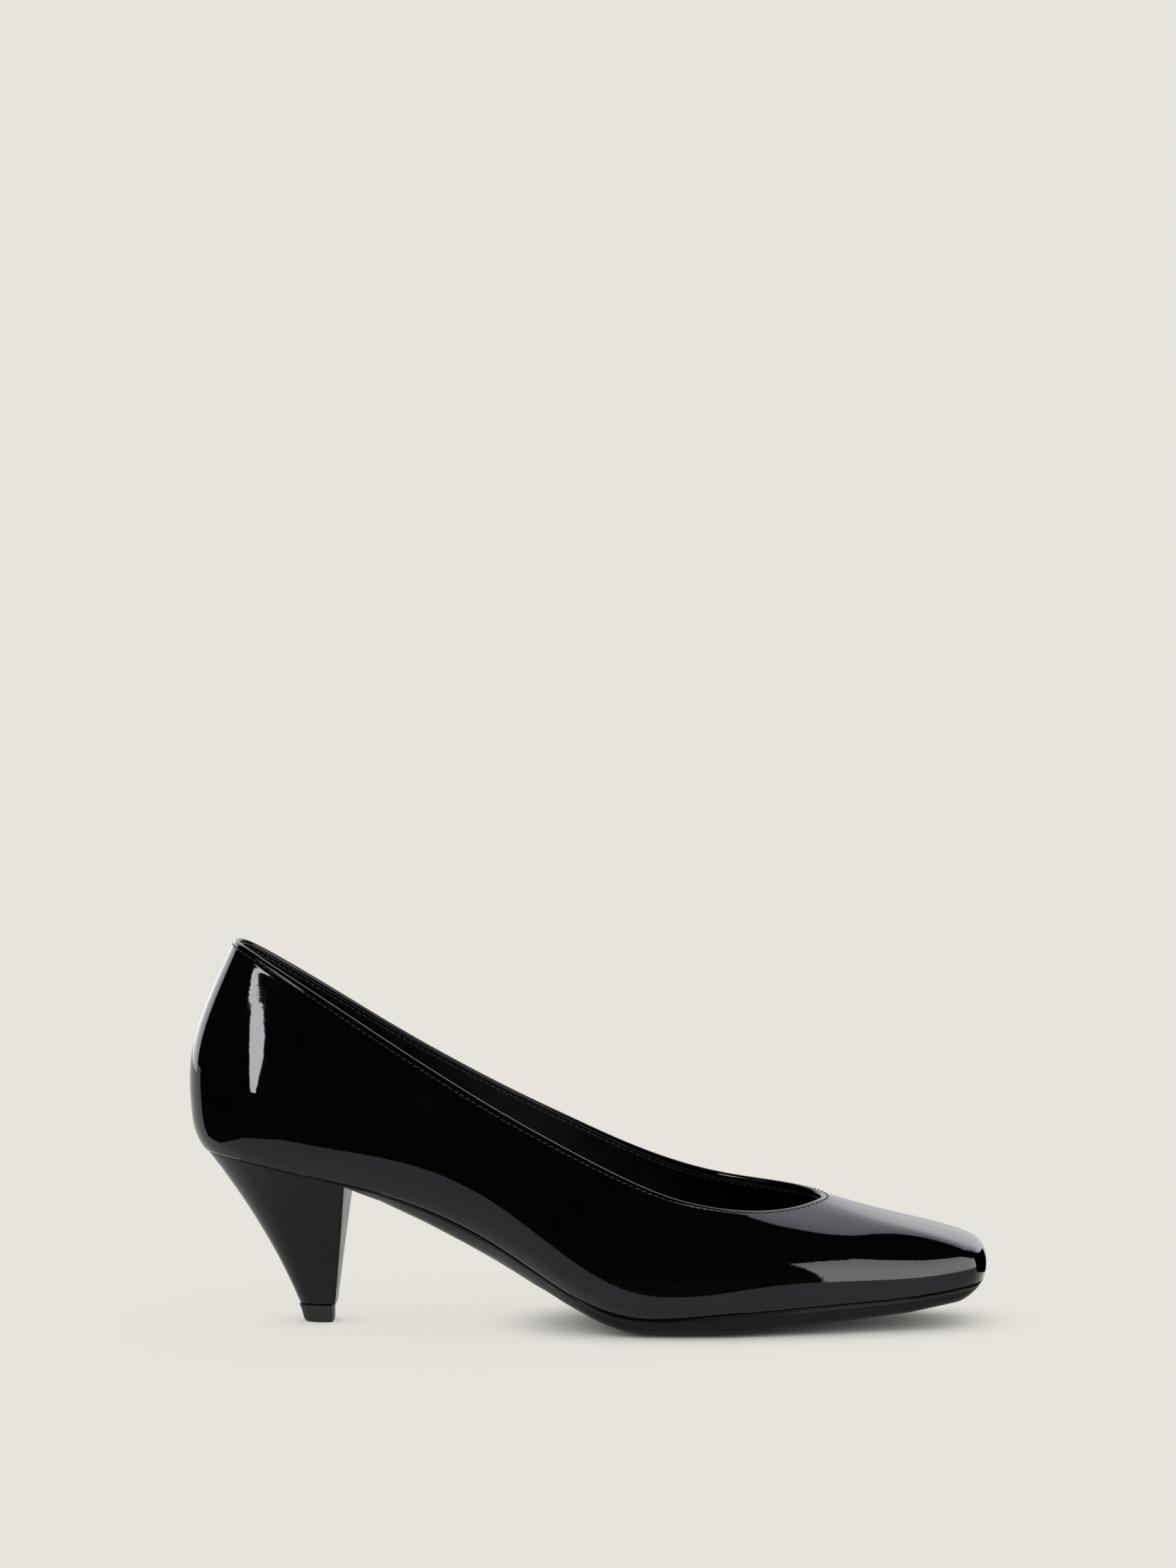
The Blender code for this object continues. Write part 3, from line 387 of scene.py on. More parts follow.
# ------------------------------------------------------------------ materials
class Look:
    """A material with the few node patterns that the shoe's surfaces are made of."""

    def __init__(self, name, roughness=0.5, metallic=0.0, specular=0.5):
        self.material = bpy.data.materials.new(name)
        self.material.use_nodes = True
        self.tree = self.material.node_tree
        self.shader = self.tree.nodes["Principled BSDF"]
        self.shader.inputs["Roughness"].default_value = roughness
        self.shader.inputs["Metallic"].default_value = metallic
        self.shader.inputs["Specular IOR Level"].default_value = specular
        self.where = self.add("ShaderNodeTexCoord").outputs["Object"]
        self.normal = None

    def add(self, kind, **settings):
        node = self.tree.nodes.new(kind)
        for key, value in settings.items():
            setattr(node, key, value)
        return node

    def put(self, node, **values):
        for key, value in values.items():
            socket = node.inputs[key.replace("_", " ")]
            if isinstance(value, bpy.types.NodeSocket):
                self.tree.links.new(value, socket)
            else:
                socket.default_value = value
        return node

    def stretched(self, scale):
        node = self.put(self.add("ShaderNodeMapping"), Vector=self.where)
        node.inputs["Scale"].default_value = scale
        return node.outputs["Vector"]

    def noise(self, scale, detail=3.0, rough=0.5, stretch=None, bend=0.0):
        node = self.add("ShaderNodeTexNoise")
        self.put(node, Vector=self.stretched(stretch) if stretch else self.where, Scale=scale,
                 Detail=detail, Roughness=rough, Distortion=bend)
        return node.outputs["Fac"]

    def cells(self, scale, feature="F1", stretch=None):
        node = self.add("ShaderNodeTexVoronoi", feature=feature)
        self.put(node, Vector=self.stretched(stretch) if stretch else self.where, Scale=scale)
        return node.outputs["Distance"]

    def bands(self, scale, axis, bend=0.0):
        node = self.add("ShaderNodeTexWave", wave_type="BANDS", bands_direction=axis)
        self.put(node, Vector=self.where, Scale=scale, Distortion=bend)
        return node.outputs["Fac"]

    def span(self, value, low, high, at_low=0.0, at_high=1.0):
        node = self.put(self.add("ShaderNodeMapRange"), Value=value)
        self.put(node, From_Min=at_low, From_Max=at_high, To_Min=low, To_Max=high)
        return node.outputs["Result"]

    def sum(self, a, b, operation="ADD"):
        """The sum, product or difference of two sockets or numbers."""
        node = self.add("ShaderNodeMath", operation=operation)
        for socket, value in zip(node.inputs, (a, b)):
            if isinstance(value, bpy.types.NodeSocket):
                self.tree.links.new(value, socket)
            else:
                socket.default_value = value
        return node.outputs[0]

    def ramp(self, value, *stops):
        node = self.put(self.add("ShaderNodeValToRGB"), Fac=value)
        stones = node.color_ramp.elements
        while len(stones) < len(stops):
            stones.new(0.5)
        for stone, (place, colour) in zip(stones, stops):
            stone.position = place
            stone.color = (*colour, 1.0)
        return node.outputs["Color"]

    def colour(self, socket):
        self.tree.links.new(socket, self.shader.inputs["Base Color"])
        return self

    def rough(self, socket):
        self.tree.links.new(socket, self.shader.inputs["Roughness"])
        return self

    def bump(self, height, metres):
        """Relief of this height in metres, laid over any relief already there."""
        node = self.put(self.add("ShaderNodeBump"), Height=height, Distance=metres, Strength=1.0)
        if self.normal:
            self.tree.links.new(self.normal, node.inputs["Normal"])
        self.normal = node.outputs["Normal"]
        self.tree.links.new(self.normal, self.shader.inputs["Normal"])
        return self


def grey(value, warm=0.0):
    return (value * (1 + warm), value, value * (1 - warm))


def patent_look():
    """Lacquered leather: a deep gloss coat that is never quite flat, over a soft black."""
    look = Look("patent_leather", specular=0.5)
    look.colour(look.ramp(look.noise(60), (0.3, grey(0.0012)), (0.7, grey(0.0022, -0.1))))
    look.rough(look.span(look.noise(240, 3), 0.018, 0.045, 0.3, 0.7))
    # Painted reflection tint: every reflection is dimmed and cooled, standing for cooler light round the
    # shoe.
    look.shader.inputs["Specular Tint"].default_value = (0.72, 0.74, 0.93, 1.0)
    look.bump(look.noise(95, 1.0), 2.0e-5)
    look.bump(look.noise(620, 1.0), 4.5e-6)
    return look.material


def leather_look(name, dark, light, low, high, grain, depth, specular=0.5):
    """Finished leather with a pebbled grain, creases between the pebbles and a mottled polish."""
    look = Look(name, specular=specular)
    # Painted reflection tint: reflections on all these leathers are cooled, standing for cooler light
    # round the shoe.
    look.shader.inputs["Specular Tint"].default_value = (0.82, 0.87, 1.0, 1.0)
    mottle = look.noise(70, 5, 0.6)
    look.colour(look.ramp(mottle, (0.25, grey(dark)), (0.75, grey(light, 0.03))))
    look.rough(look.span(look.noise(160, 4), low, high, 0.3, 0.7))
    look.bump(look.cells(grain, "SMOOTH_F1"), depth)
    look.bump(look.noise(grain * 2.6, 3), depth * 0.35)
    return look.material


def sole_look():
    """Painted sole leather: satin, with fine lengthwise strokes and a little wear under the ball."""
    look = Look("sole_leather", specular=0.16)
    strokes = look.noise(260, 4, 0.6, stretch=(0.25, 1.0, 1.0))
    wear = look.noise(900, 5, 0.7, stretch=(0.4, 1.0, 1.0))
    look.colour(look.ramp(look.sum(strokes, wear, "MULTIPLY"), (0.1, grey(0.003)),
                          (0.42, grey(0.006, 0.06)), (0.62, grey(0.016, 0.10))))
    look.rough(look.span(strokes, 0.30, 0.46, 0.3, 0.7))
    look.bump(look.cells(1900, "SMOOTH_F1"), 1.0e-5)
    look.bump(strokes, 8e-6)
    return look.material


def rubber_look():
    look = Look("top_piece_rubber", specular=0.3)
    look.colour(look.ramp(look.noise(700, 6, 0.7), (0.3, grey(0.011)), (0.75, grey(0.021, 0.03))))
    look.rough(look.span(look.noise(300, 4), 0.48, 0.66, 0.3, 0.7))
    look.bump(look.noise(2600, 4, 0.6), 1.2e-5)
    return look.material


def thread_look():
    look = Look("bonded_thread", specular=0.5)
    look.colour(look.ramp(look.noise(2600, 2), (0.3, grey(0.010)), (0.7, grey(0.024))))
    look.rough(look.span(look.noise(3000), 0.34, 0.5, 0.3, 0.7))
    look.bump(look.bands(2200, "DIAGONAL", 1.5), 1.5e-5)
    return look.material


def woven_look():
    look = Look("cotton_interlining", roughness=0.9, specular=0.2)
    cloth = look.sum(look.bands(900, "X", 0.6), look.bands(900, "Z", 0.6))
    look.colour(look.ramp(look.span(cloth, 0, 1, 0, 2),
                          (0.1, (0.50, 0.48, 0.43)), (0.8, (0.74, 0.72, 0.67))))
    look.bump(cloth, 6e-5)
    return look.material


def pressed_look(name, dark, light, speckle, depth, roughness=0.8, stretch=None):
    """Pressed board, foam or cork: specks of two tones, and a rough face."""
    look = Look(name, roughness=roughness, specular=0.25)
    specks = look.sum(look.noise(speckle, 6, 0.7, stretch), look.cells(speckle * 1.4), "MULTIPLY")
    look.colour(look.ramp(specks, (0.08, dark), (0.38, light)))
    look.bump(specks, depth)
    return look.material


def steel_look():
    look = Look("tempered_steel", metallic=1.0)
    drawn_marks = look.noise(900, 3, 0.6, stretch=(0.08, 1.0, 1.0))
    look.colour(look.ramp(drawn_marks, (0.3, (0.40, 0.41, 0.43)), (0.7, (0.62, 0.63, 0.65))))
    look.rough(look.span(drawn_marks, 0.24, 0.42, 0.3, 0.7))
    look.bump(drawn_marks, 6e-6)
    return look.material


def plastic_look():
    look = Look("moulded_abs", roughness=0.42)
    look.colour(look.ramp(look.noise(45, 3), (0.3, (0.66, 0.66, 0.63)), (0.7, (0.73, 0.73, 0.70))))
    look.bump(look.noise(1100, 4), 8e-6)
    return look.material


patent = patent_look()
lining_leather = leather_look("lining_leather", 0.0020, 0.0040, 0.36, 0.50, 1500, 2.0e-5, 0.14)
sock_leather = leather_look("sock_leather", 0.0030, 0.0065, 0.44, 0.60, 1300, 2.4e-5, 0.16)
heel_wrap = leather_look("heel_wrap", 0.0030, 0.0045, 0.24, 0.31, 2300, 2.5e-6, 0.27)
sole_leather = sole_look()
rubber = rubber_look()
thread = thread_look()
cotton = woven_look()
steel = steel_look()
fibreboard = pressed_look("fibreboard", (0.40, 0.34, 0.26), (0.64, 0.58, 0.47), 900, 4e-5)
cellulose = pressed_look("cellulose_board", (0.26, 0.17, 0.10), (0.46, 0.33, 0.22), 700, 4e-5,
                         stretch=(0.4, 1.0, 1.0))
foam = pressed_look("latex_foam", (0.62, 0.55, 0.43), (0.84, 0.78, 0.66), 1500, 8e-5, 0.9)
cork = pressed_look("cork_filler", (0.20, 0.11, 0.06), (0.56, 0.38, 0.22), 520, 1e-4, 0.9)
abs_plastic = plastic_look()

# ------------------------------------------------------------------ upper
FOLD = 0.9  # radius of the folded topline
FOLD_LEATHER = 0.68  # the leather is skived to this where it folds
FLAP = 4.2  # how far the folded edge comes down inside
FURROW = 0.11  # how deep the stitching sinks into the face
FURROW_WIDTH = 0.27


def crease(drop):
    """The stitching pulls a furrow into the face, and the leather stands full on either side."""
    furrow = FURROW * math.exp(-((drop - STITCH_DROP) / FURROW_WIDTH) ** 2)
    full = 0.015 * math.exp(-((drop - 1.3) / 0.4) ** 2) + 0.01 * math.exp(-((drop - 3.0) / 0.5) ** 2)
    return furrow - full


def arc(radius, drop, depth, count):
    """Half a turn over the top of an edge, from its outer side to its inner one."""
    angles = np.linspace(0, math.pi, count)
    return [("edge", drop - radius * math.sin(a), depth - radius * math.cos(a)) for a in angles]


FINE_DROPS = [6.3, 5.6, 5.0, 4.4, 3.9, 3.5, 3.2, 2.95, 2.75, 2.6, 2.48, 2.38, 2.29, 2.2, 2.1, 2.0, 1.9,
              1.8, 1.71, 1.62, 1.52, 1.4, 1.25, 1.1, 1.0]
upper_steps = [("foot", inset, 0.0) for inset in (MARGIN, 6, 4.5, 3.2, 2.2, 1.4, 0.8, 0.35)]
upper_steps += [("wall", share, 0.0) for share in np.linspace(0, 1, 64)]
upper_steps += [("edge", drop, crease(drop)) for drop in FINE_DROPS]
for kind, drop, depth in arc(FOLD, FOLD, FOLD, 17):
    lead = max(0.0, 1 - depth / FOLD) ** 2
    upper_steps.append((kind, drop, depth + crease(FOLD) * lead))
upper_steps += [("edge", drop, 2 * FOLD) for drop in (1.5, 2.4, 3.3)]
upper_steps += [("edge", FLAP, 2 * FOLD - 0.1), ("edge", FLAP, 2 * FOLD - 0.3)]
upper_steps += [("edge", drop, 2 * FOLD - FOLD_LEATHER) for drop in (3.3, 2.4, 1.5)]
upper_steps += arc(FOLD - FOLD_LEATHER, FOLD, FOLD, 5)[::-1]
upper_steps += [("edge", drop, depth) for drop, depth in ((1.5, 0.70), (2.4, 0.72), (3.3, 0.76),
                                                          (4.6, 0.9), (6.0, 1.05))]
upper_steps += [("wall", share, UPPER) for share in np.linspace(1, 0.04, 20)]
upper_steps += [("foot", inset, UPPER) for inset in (1.6, 3, 5, MARGIN)]

for name, first, last, node in (
        ("vamp_and_lateral_quarter", 0.0, SEAM_S, "upper_vamp_and_lateral_quarter"),
        ("medial_quarter", SEAM_S, float(ROUND), "upper_medial_quarter")):
    s, fall = seamed(first, last)
    made = drawn(name, section(s, upper_steps, fall), patent)
    stands_for(made, "patent_leather", node)

s = np.linspace(0, ROUND, ROUND * 8 + 1)[:-1]
tape_steps = [("edge", drop, depth) for drop, depth in
              ((1.0, 0.76), (2.4, 0.78), (3.8, 0.82), (3.8, 1.04), (2.4, 1.04), (1.0, 1.03))]
stands_for(drawn("topline_tape", section(s, tape_steps), cotton, ring=True), "cotton", "topline_tape")

# ------------------------------------------------------------------ topline stitching
STITCH = 2.1  # from one stitch to the next
THREAD = 0.17  # radius of the thread


def stitch_row(face, into, first_index):
    """Separate stitches round the opening, each diving into the leather at both ends."""
    s = np.linspace(0, ROUND, ROUND * 60 + 1)
    t = drop_table(s)(STITCH_DROP)
    line = within(s, t, face + 0 * s)
    inward = within(s, t, face + 0.5 + 0 * s) - within(s, t, face - 0.5 + 0 * s)
    inward /= np.linalg.norm(inward, axis=1)[:, None]
    gone = np.concatenate([[0], np.cumsum(np.linalg.norm(np.diff(line, axis=0), axis=1))])
    count = int(round(gone[-1] / STITCH))
    share = np.linspace(-1, 1, 11)
    place = ((np.arange(count) + 0.5)[:, None] * gone[-1] / count) + share[None] * STITCH * 0.43
    centre = np.stack([np.interp(place, gone, line[:, k]) for k in range(3)], -1)
    inner = np.stack([np.interp(place, gone, inward[:, k]) for k in range(3)], -1)
    along = np.gradient(centre, axis=1)
    along /= np.linalg.norm(along, axis=-1)[..., None]
    aside = np.cross(along, inner)
    dive = 0.36 * np.abs(share) ** 5 - 0.04 * np.cos(share * math.pi)
    centre = centre + inner * (into * dive)[None, :, None]
    centre = centre + aside * (0.07 * share)[None, :, None]
    radius = THREAD * np.sqrt(np.clip(1 - np.abs(share) ** 7, 0.03, 1))
    sides = 8
    points, faces = [], []
    for k in range(sides):
        a = 2 * math.pi * k / sides
        off = inner * math.cos(a) + aside * math.sin(a)
        points.append(centre + off * radius[None, :, None])
    points = np.stack(points, 2)
    for n in range(count):
        base = first_index + n * len(share) * sides
        faces += quads(len(share), sides, False, True, base)
        faces.append([base + k for k in range(sides)][::-1])
        faces.append([base + (len(share) - 1) * sides + k for k in range(sides)])
    return points.reshape(-1, 3), faces


LINING_FACE = UPPER + GAP + TAPE + GAP + LINING  # the lining's inner face under the topline
outside_points, outside_faces = stitch_row(-0.03, 1, 0)
inside_points, inside_faces = stitch_row(LINING_FACE - 0.02, -1, len(outside_points))
stands_for(solid("topline_stitching", np.concatenate([outside_points, inside_points]),
                 outside_faces + inside_faces, thread), "thread", "topline_thread")

# ------------------------------------------------------------------ linings
LINING_TOP = 0.8  # the lining's edge stops this far under the fold


def lining_in(s, t):
    return lining_depth(s, t) + LINING


lining_steps = [("foot", inset, UPPER + GAP) for inset in (MARGIN, 6, 4.5, 3.4)]
lining_steps += [("wall", share, lining_depth) for share in np.linspace(0.06, 1, 30)]
lining_steps += [("edge", drop, lining_depth) for drop in (5, 3.6, 2.4, 1.5)]
lining_steps += arc(LINING / 2, LINING_TOP + LINING / 2, LINING_FACE - LINING / 2, 9)
for drop in (1.1, 1.3, 1.5, 1.65, 1.78, 1.9, 2.0, 2.1, 2.22, 2.35, 2.5, 2.8, 3.2, 3.8, 4.6, 5.6):
    pull = 0.15 * math.exp(-((drop - STITCH_DROP) / 0.25) ** 2)
    lining_steps.append(("edge", drop, LINING_FACE - pull))
lining_steps += [("wall", share, lining_in) for share in np.linspace(1, 0.1, 44)]
lining_steps += [("foot", inset, UPPER + GAP + LINING) for inset in (3.9, 5, 6.5, MARGIN)]

for name, first, last in (("vamp_lining", LINING_SEAM_S, ROUND - LINING_SEAM_S),
                          ("quarter_lining", -LINING_SEAM_S, LINING_SEAM_S)):
    s = seamed(first, last, per_station=10)[0]
    stands_for(drawn(name + "_skin", section(s, lining_steps), lining_leather), "lining_leather", name)


# ------------------------------------------------------------------ plates
def slab(name, lateral, medial, look, across=12, laid=None, sharp=50):
    """A plate: rings [ring][column] down each side, spanned across, its faces laid to two surfaces."""
    lateral, medial = np.asarray(lateral), np.asarray(medial)
    rings, columns = lateral.shape[:2]
    points = np.concatenate([lateral.reshape(-1, 3), medial.reshape(-1, 3)])
    size = rings * columns
    faces = quads(rings, columns) + quads(rings, columns, shift=size)
    blocks, total = [points], 2 * size
    index = []
    for ring in (0, rings - 1):
        left, right = lateral[ring], medial[ring]
        a = np.arange(columns) + ring * columns
        rows = [a]
        for k in range(1, across):
            u = k / across
            p = left * (1 - u) + right * u
            if laid:
                bed = laid[0 if ring == 0 else 1]
                over = [side[:, 2] - bed(side[:, 0], side[:, 1]) for side in (left, right)]
                p[:, 2] = bed(p[:, 0], p[:, 1]) + over[0] * (1 - u) + over[1] * u
            blocks.append(p)
            rows.append(np.arange(columns) + total)
            total += columns
        rows.append(a + size)
        index.append(rows)
        for k in range(across):
            for c in range(columns - 1):
                faces.append([rows[k][c], rows[k][c + 1], rows[k + 1][c + 1], rows[k + 1][c]])
    for c in (0, columns - 1):
        if np.linalg.norm(lateral[0][c] - medial[0][c]) < 0.02:
            continue
        down = [size + r * columns + c for r in range(1, rings - 1)]
        back = [r * columns + c for r in range(rings - 2, 0, -1)]
        faces.append([row[c] for row in index[0]] + down + [row[c] for row in index[1]][::-1] + back)
    return solid(name, np.concatenate(blocks), faces, look, sharp)


BOTTOM = (underside, underside)


def halves(s, rings):
    """Each ring function evaluated down the lateral side and down the medial side."""
    return (np.array([ring(s) for ring in rings]), np.array([ring(ROUND - s) for ring in rings]))


def against_lining(lift, clearance):
    """Plan line just inside the lining's wall at this height over the bottom."""
    def ring_of(s):
        levels = np.linspace(0.02, 0.4, 39)
        walls = np.array([within(s, t + 0 * s, lining_depth(s, t) + LINING + clearance)
                          for t in levels])
        over = walls[..., 2] - underside(walls[..., 0], walls[..., 1])
        line = np.array([[np.interp(lift, over[:, c], walls[:, c, k]) for k in range(3)]
                         for c in range(len(s))])
        line[..., 2] = underside(line[..., 0], line[..., 1]) + lift
        return line
    return ring_of


BOARD_TOP = UPPER + GAP + LINING + GAP + BOARD
PAD_END = (64, 86)  # x over which the rise of the heel cushion dies away


def sock_ring(share, clearance):
    def ring_of(s):
        line = against_lining(BOARD_TOP + GAP + SOCK, clearance)(s)
        rise = (PAD + GAP) * (1 - smooth(*PAD_END, line[..., 0]))
        line[..., 2] += rise - SOCK * (1 - share)
        return line
    return ring_of


s = np.linspace(0, HALF, HALF * 8 + 1)
sock_rings = [(1.0, 0.75), (0.98, 0.55), (0.88, 0.38), (0.7, 0.3), (0.0, 0.3)]
lateral, medial = halves(s, [sock_ring(share, clear) for share, clear in sock_rings])
stands_for(slab("sock_lining_skin", lateral, medial, sock_leather, laid=BOTTOM),
           "lining_leather", "sock_lining")


# ------------------------------------------------------------------ outsole
def tread(x, y):
    """Height of the sole's lower face, which sags across the waist as the last does."""
    return height(TREAD, x) + underside(x, y) - underside(x, np.interp(x, *SPINE))


SOLE_STEPS = [0, 0.3, 0.42, 0.75, 0.93, 1, 1.2]
SOLE_ROLL = 1.0  # the tread's edge stands this far off the floor
ROLL_INSET = 11.0  # the tread starts to rise this far in from the feather edge
TREAD_INSET = 3.4  # and this far in it has risen by SOLE_ROLL
WAIST_BACK = (50, 60)  # x over which the sole's edge turns from square to rolled
WAIST_FRONT = (112, 132)  # x over which it turns square again
SOLE_BACK_X = BREAST_TOP_X + GAP + BREAST_WRAP + GAP
breast_s = 3.84


def sole_ring(where):
    """Edge of the outsole, 0 its top line, 1 where the tread begins: square in front, rolled behind."""
    front_inset = np.interp(where, SOLE_STEPS, [0.9, 0.2, 0.7, 0.9, 1.9, TREAD_INSET, ROLL_INSET])
    waist_inset = np.interp(where, SOLE_STEPS, [1.3, 1.6, 2.2, 4.4, 6.6, 9.0, 12.0])

    def ring_of(s):
        foot = skin(s, 0 * s)
        waist = (1 - smooth(*WAIST_FRONT, foot[..., 0])) * smooth(*WAIST_BACK, foot[..., 0])
        inset = front_inset * (1 - waist) + waist_inset * waist
        line = under(s, inset, 0.0)
        line[0, 0] = SOLE_BACK_X
        line[..., 2] = underside(line[..., 0], line[..., 1])
        low = tread(line[..., 0], line[..., 1])
        risen = np.clip(ROLL_INSET - inset, 0, ROLL_INSET) / (ROLL_INSET - TREAD_INSET)
        low += risen ** 2 * SOLE_ROLL
        down = min(where, 1.0)
        line[..., 2] = (line[..., 2] - GAP - 0.1) * (1 - down) + low * down
        return line
    return ring_of


s = np.linspace(breast_s + 0.1, HALF, 145)
lateral, medial = halves(s, [sole_ring(w) for w in SOLE_STEPS])
stands_for(slab("outsole_skin", softened(lateral, 2), softened(medial, 2), sole_leather, across=20,
                laid=(underside, tread), sharp=60), "sole_leather", "outsole")

# ------------------------------------------------------------------ heel
HEEL_TOP_INSET = 0.9
TIP_HALF = 5.7  # half the width of the heel's foot
TIP_BACK_X = 34.0
TIP_DEEP = 6.6  # depth of its rounded back
TIP_TURN = 0.62  # share of its outline that the rounded back takes
BACK_BOW = 0.30  # how much the back curves forward on its way down
SIDE_BOW = 0.46  # how much the sides curve in


def heel_tip_line(f, lateral):
    """Plan of the heel's foot from the middle of its back (f = 0) to the breast (f = 1)."""
    angle = np.clip(f / TIP_TURN, 0, 1) * math.pi / 2
    x = TIP_BACK_X + TIP_DEEP * (1 - np.cos(angle))
    straight = np.clip((f - TIP_TURN) / (1 - TIP_TURN), 0, 1)
    x = x + straight * (BREAST_FOOT_X - TIP_BACK_X - TIP_DEEP)
    y = TIP_HALF * np.sin(angle) * (-1 if lateral else 1)
    return x, y


def heel_face(s, lateral, level):
    """Outer face of the heel; level runs from 0 under the seat to 1 on the top piece."""
    f = s / breast_s
    around = s if lateral else ROUND - s
    top = under(around, HEEL_TOP_INSET + 0 * s, -GAP)
    top[..., 0] = top[..., 0] + (BREAST_TOP_X - top[-1, 0]) * smooth(0.55, 1.0, f)
    x1, y1 = heel_tip_line(f, lateral)
    bow = 1 - f**3
    wx = level + BACK_BOW * bow * level * (1 - level)
    wy = level + SIDE_BOW * level * (1 - level)
    found = top.copy()
    found[..., 0] = top[..., 0] * (1 - wx) + x1 * wx
    found[..., 1] = top[..., 1] * (1 - wy) + y1 * wy
    found[..., 2] = top[..., 2] * (1 - level) + (TIP_HIGH + GAP) * level
    return found


EDGE_ROLL = 0.3  # radius of the edge beside the breast
END_ROLL = 0.25  # radius of the edges at the seat and at the top piece
HEEL_SIDE = 44.0  # height of the heel's side

# Stations round the heel and levels down it, closer together at the breast and at the two ends.
heel_s = breast_s * np.concatenate([np.linspace(0, 0.93, 56),
                                    1 - 0.07 * np.linspace(0.9, 0, 22) ** 1.6])
ends = np.array([0, 0.003, 0.007, 0.013, 0.022])
levels = np.concatenate([ends, np.linspace(0.035, 0.965, 60), 1 - ends[::-1]])
grid = np.array([np.concatenate([heel_face(heel_s, True, level)[::-1],
                                 heel_face(heel_s, False, level)[1:]]) for level in levels])
along = np.gradient(grid, axis=1)
down = np.gradient(grid, axis=0)
inward = np.cross(along, down)
inward /= np.linalg.norm(inward, axis=-1)[..., None]
if inward[30, grid.shape[1] // 2, 0] < 0:
    inward = -inward
inward[..., 2] = 0
stride = np.linalg.norm(along, axis=-1)
from_breast = np.minimum(stride.cumsum(axis=1), stride[:, ::-1].cumsum(axis=1)[:, ::-1])
from_breast -= from_breast[:, :1]
from_ends = np.minimum(levels, 1 - levels)[:, None] * HEEL_SIDE
fall = np.maximum(rolled(np.maximum(from_breast, 0), EDGE_ROLL), rolled(from_ends, END_ROLL))
outer = grid + inward * fall[..., None]
inner = grid + inward * HEEL_WRAP
for face in (inner, outer):
    face[:, [0, -1], 0] = grid[:, [0, -1], 0]
loop = np.concatenate([outer, inner[:, ::-1]], axis=1).transpose(1, 0, 2)
stands_for(drawn("heel_cover_skin", loop, heel_wrap, sharp=60), "heel_wrap", "heel_cover")

# The breast's own cover lies between the two edges, a hair back from them, and crowned across.
breast_rows = []
left, right = grid[:, 0], grid[:, -1]
BREAST_INSET = 0.12  # how far its edges stand in from the heel cover's
BREAST_GAP = 0.06  # between it and the heel cover
BREAST_CROWN = 0.16
across = np.concatenate([[0, 0.06, 0.16, 0.3, 0.5], np.linspace(0.9, 2, 4)])
for row in range(len(levels)):
    a, b = left[row] + (0, BREAST_INSET, 0), right[row] - (0, BREAST_INSET, 0)
    width = b[1] - a[1]
    near = across / width
    share = np.concatenate([near, np.linspace(near[-1], 1 - near[-1], 16)[1:-1], 1 - near[::-1]])
    front = a * (1 - share)[:, None] + b * share[:, None]
    edge = np.minimum(share, 1 - share) * width
    crown = BREAST_CROWN * (1 - (2 * share - 1) ** 2)
    fall = rolled(edge, EDGE_ROLL) + rolled(from_ends[row], END_ROLL)
    front[:, 0] += GAP + BREAST_WRAP - fall + crown
    back = np.array([b, a]) + (BREAST_GAP, 0, 0)
    breast_rows.append(np.concatenate([front, back]))
loop = np.array(breast_rows).transpose(1, 0, 2)
stands_for(drawn("heel_breast_skin", loop, heel_wrap, sharp=60), "heel_wrap", "heel_breast_cover")

# ------------------------------------------------------------------ top piece
# Rings of the rubber from its top to the floor: (height, how much wider than the heel's foot, how far
# its back has moved forward).
TIP_BACK_ENDS = 41.0  # x where the curved back gives way to the straight sides
TIP_CORNER = 0.4  # how much its front corners are cut
TIP_BREAST_X = BREAST_FOOT_X - 0.02
tip_rings = [(TIP_HIGH, -0.4, 0.0), (TIP_HIGH, 0.22, 0.0), (TIP_HIGH - 0.16, 0.36, 0.0),
             (3.4, -0.02, 0.4), (1.3, -0.5, 0.9), (0.42, -0.8, 1.2), (0.1, -1.2, 1.6),
             (0.0, -1.6, 2.0)]
share = np.concatenate([np.linspace(0, 0.9, 40), [0.94, 0.97, 0.985]])
tip_points = []
for z, grow, forward in tip_rings:
    sides_of = []
    for lateral in (True, False):
        x, y = heel_tip_line(share, lateral)
        back = np.clip((TIP_BACK_ENDS - x) / (TIP_BACK_ENDS - TIP_BACK_X), 0, 1)
        sides_of.append(np.stack([x - back * max(grow, 0) + back * forward,
                                  y * (1 + grow / TIP_HALF), 0 * x + z], -1))
    lateral, medial = sides_of
    front = (TIP_HALF - TIP_CORNER) * (1 + grow / TIP_HALF)
    corner = np.array([[TIP_BREAST_X, -front, z], [TIP_BREAST_X, front, z]])
    tip_points.append(np.concatenate([lateral[::-1], medial[1:], corner[1:], corner[:1]]))
tip_points = softened(tip_points, 2)
rows, columns = tip_points.shape[:2]
tip_faces = quads(rows, columns, False, True)
tip_faces += [list(range(columns))[::-1], [(rows - 1) * columns + k for k in range(columns)]]
stands_for(solid("top_piece_skin", tip_points.reshape(-1, 3), tip_faces, rubber), "rubber", "top_piece")

# ------------------------------------------------------------------ the pieces inside keep their CAD shape
INSIDE = {
    fibreboard: ["heel_counter", "toe_puff"],
    cotton: ["lateral_interlining", "medial_interlining"],
    cellulose: ["insole_board"],
    foam: ["heel_pad"],
    cork: ["bottom_filler"],
    abs_plastic: ["heel_core"],
    steel: ["shank", "shank_rivet_1", "shank_rivet_2", "top_piece_pin", "heel_screw",
            "heel_nail_1", "heel_nail_2", "heel_nail_3", "heel_nail_4"],
}
for finish, names in INSIDE.items():
    for name in names:
        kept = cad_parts[name]
        kept.data.materials.clear()
        kept.data.materials.append(finish)

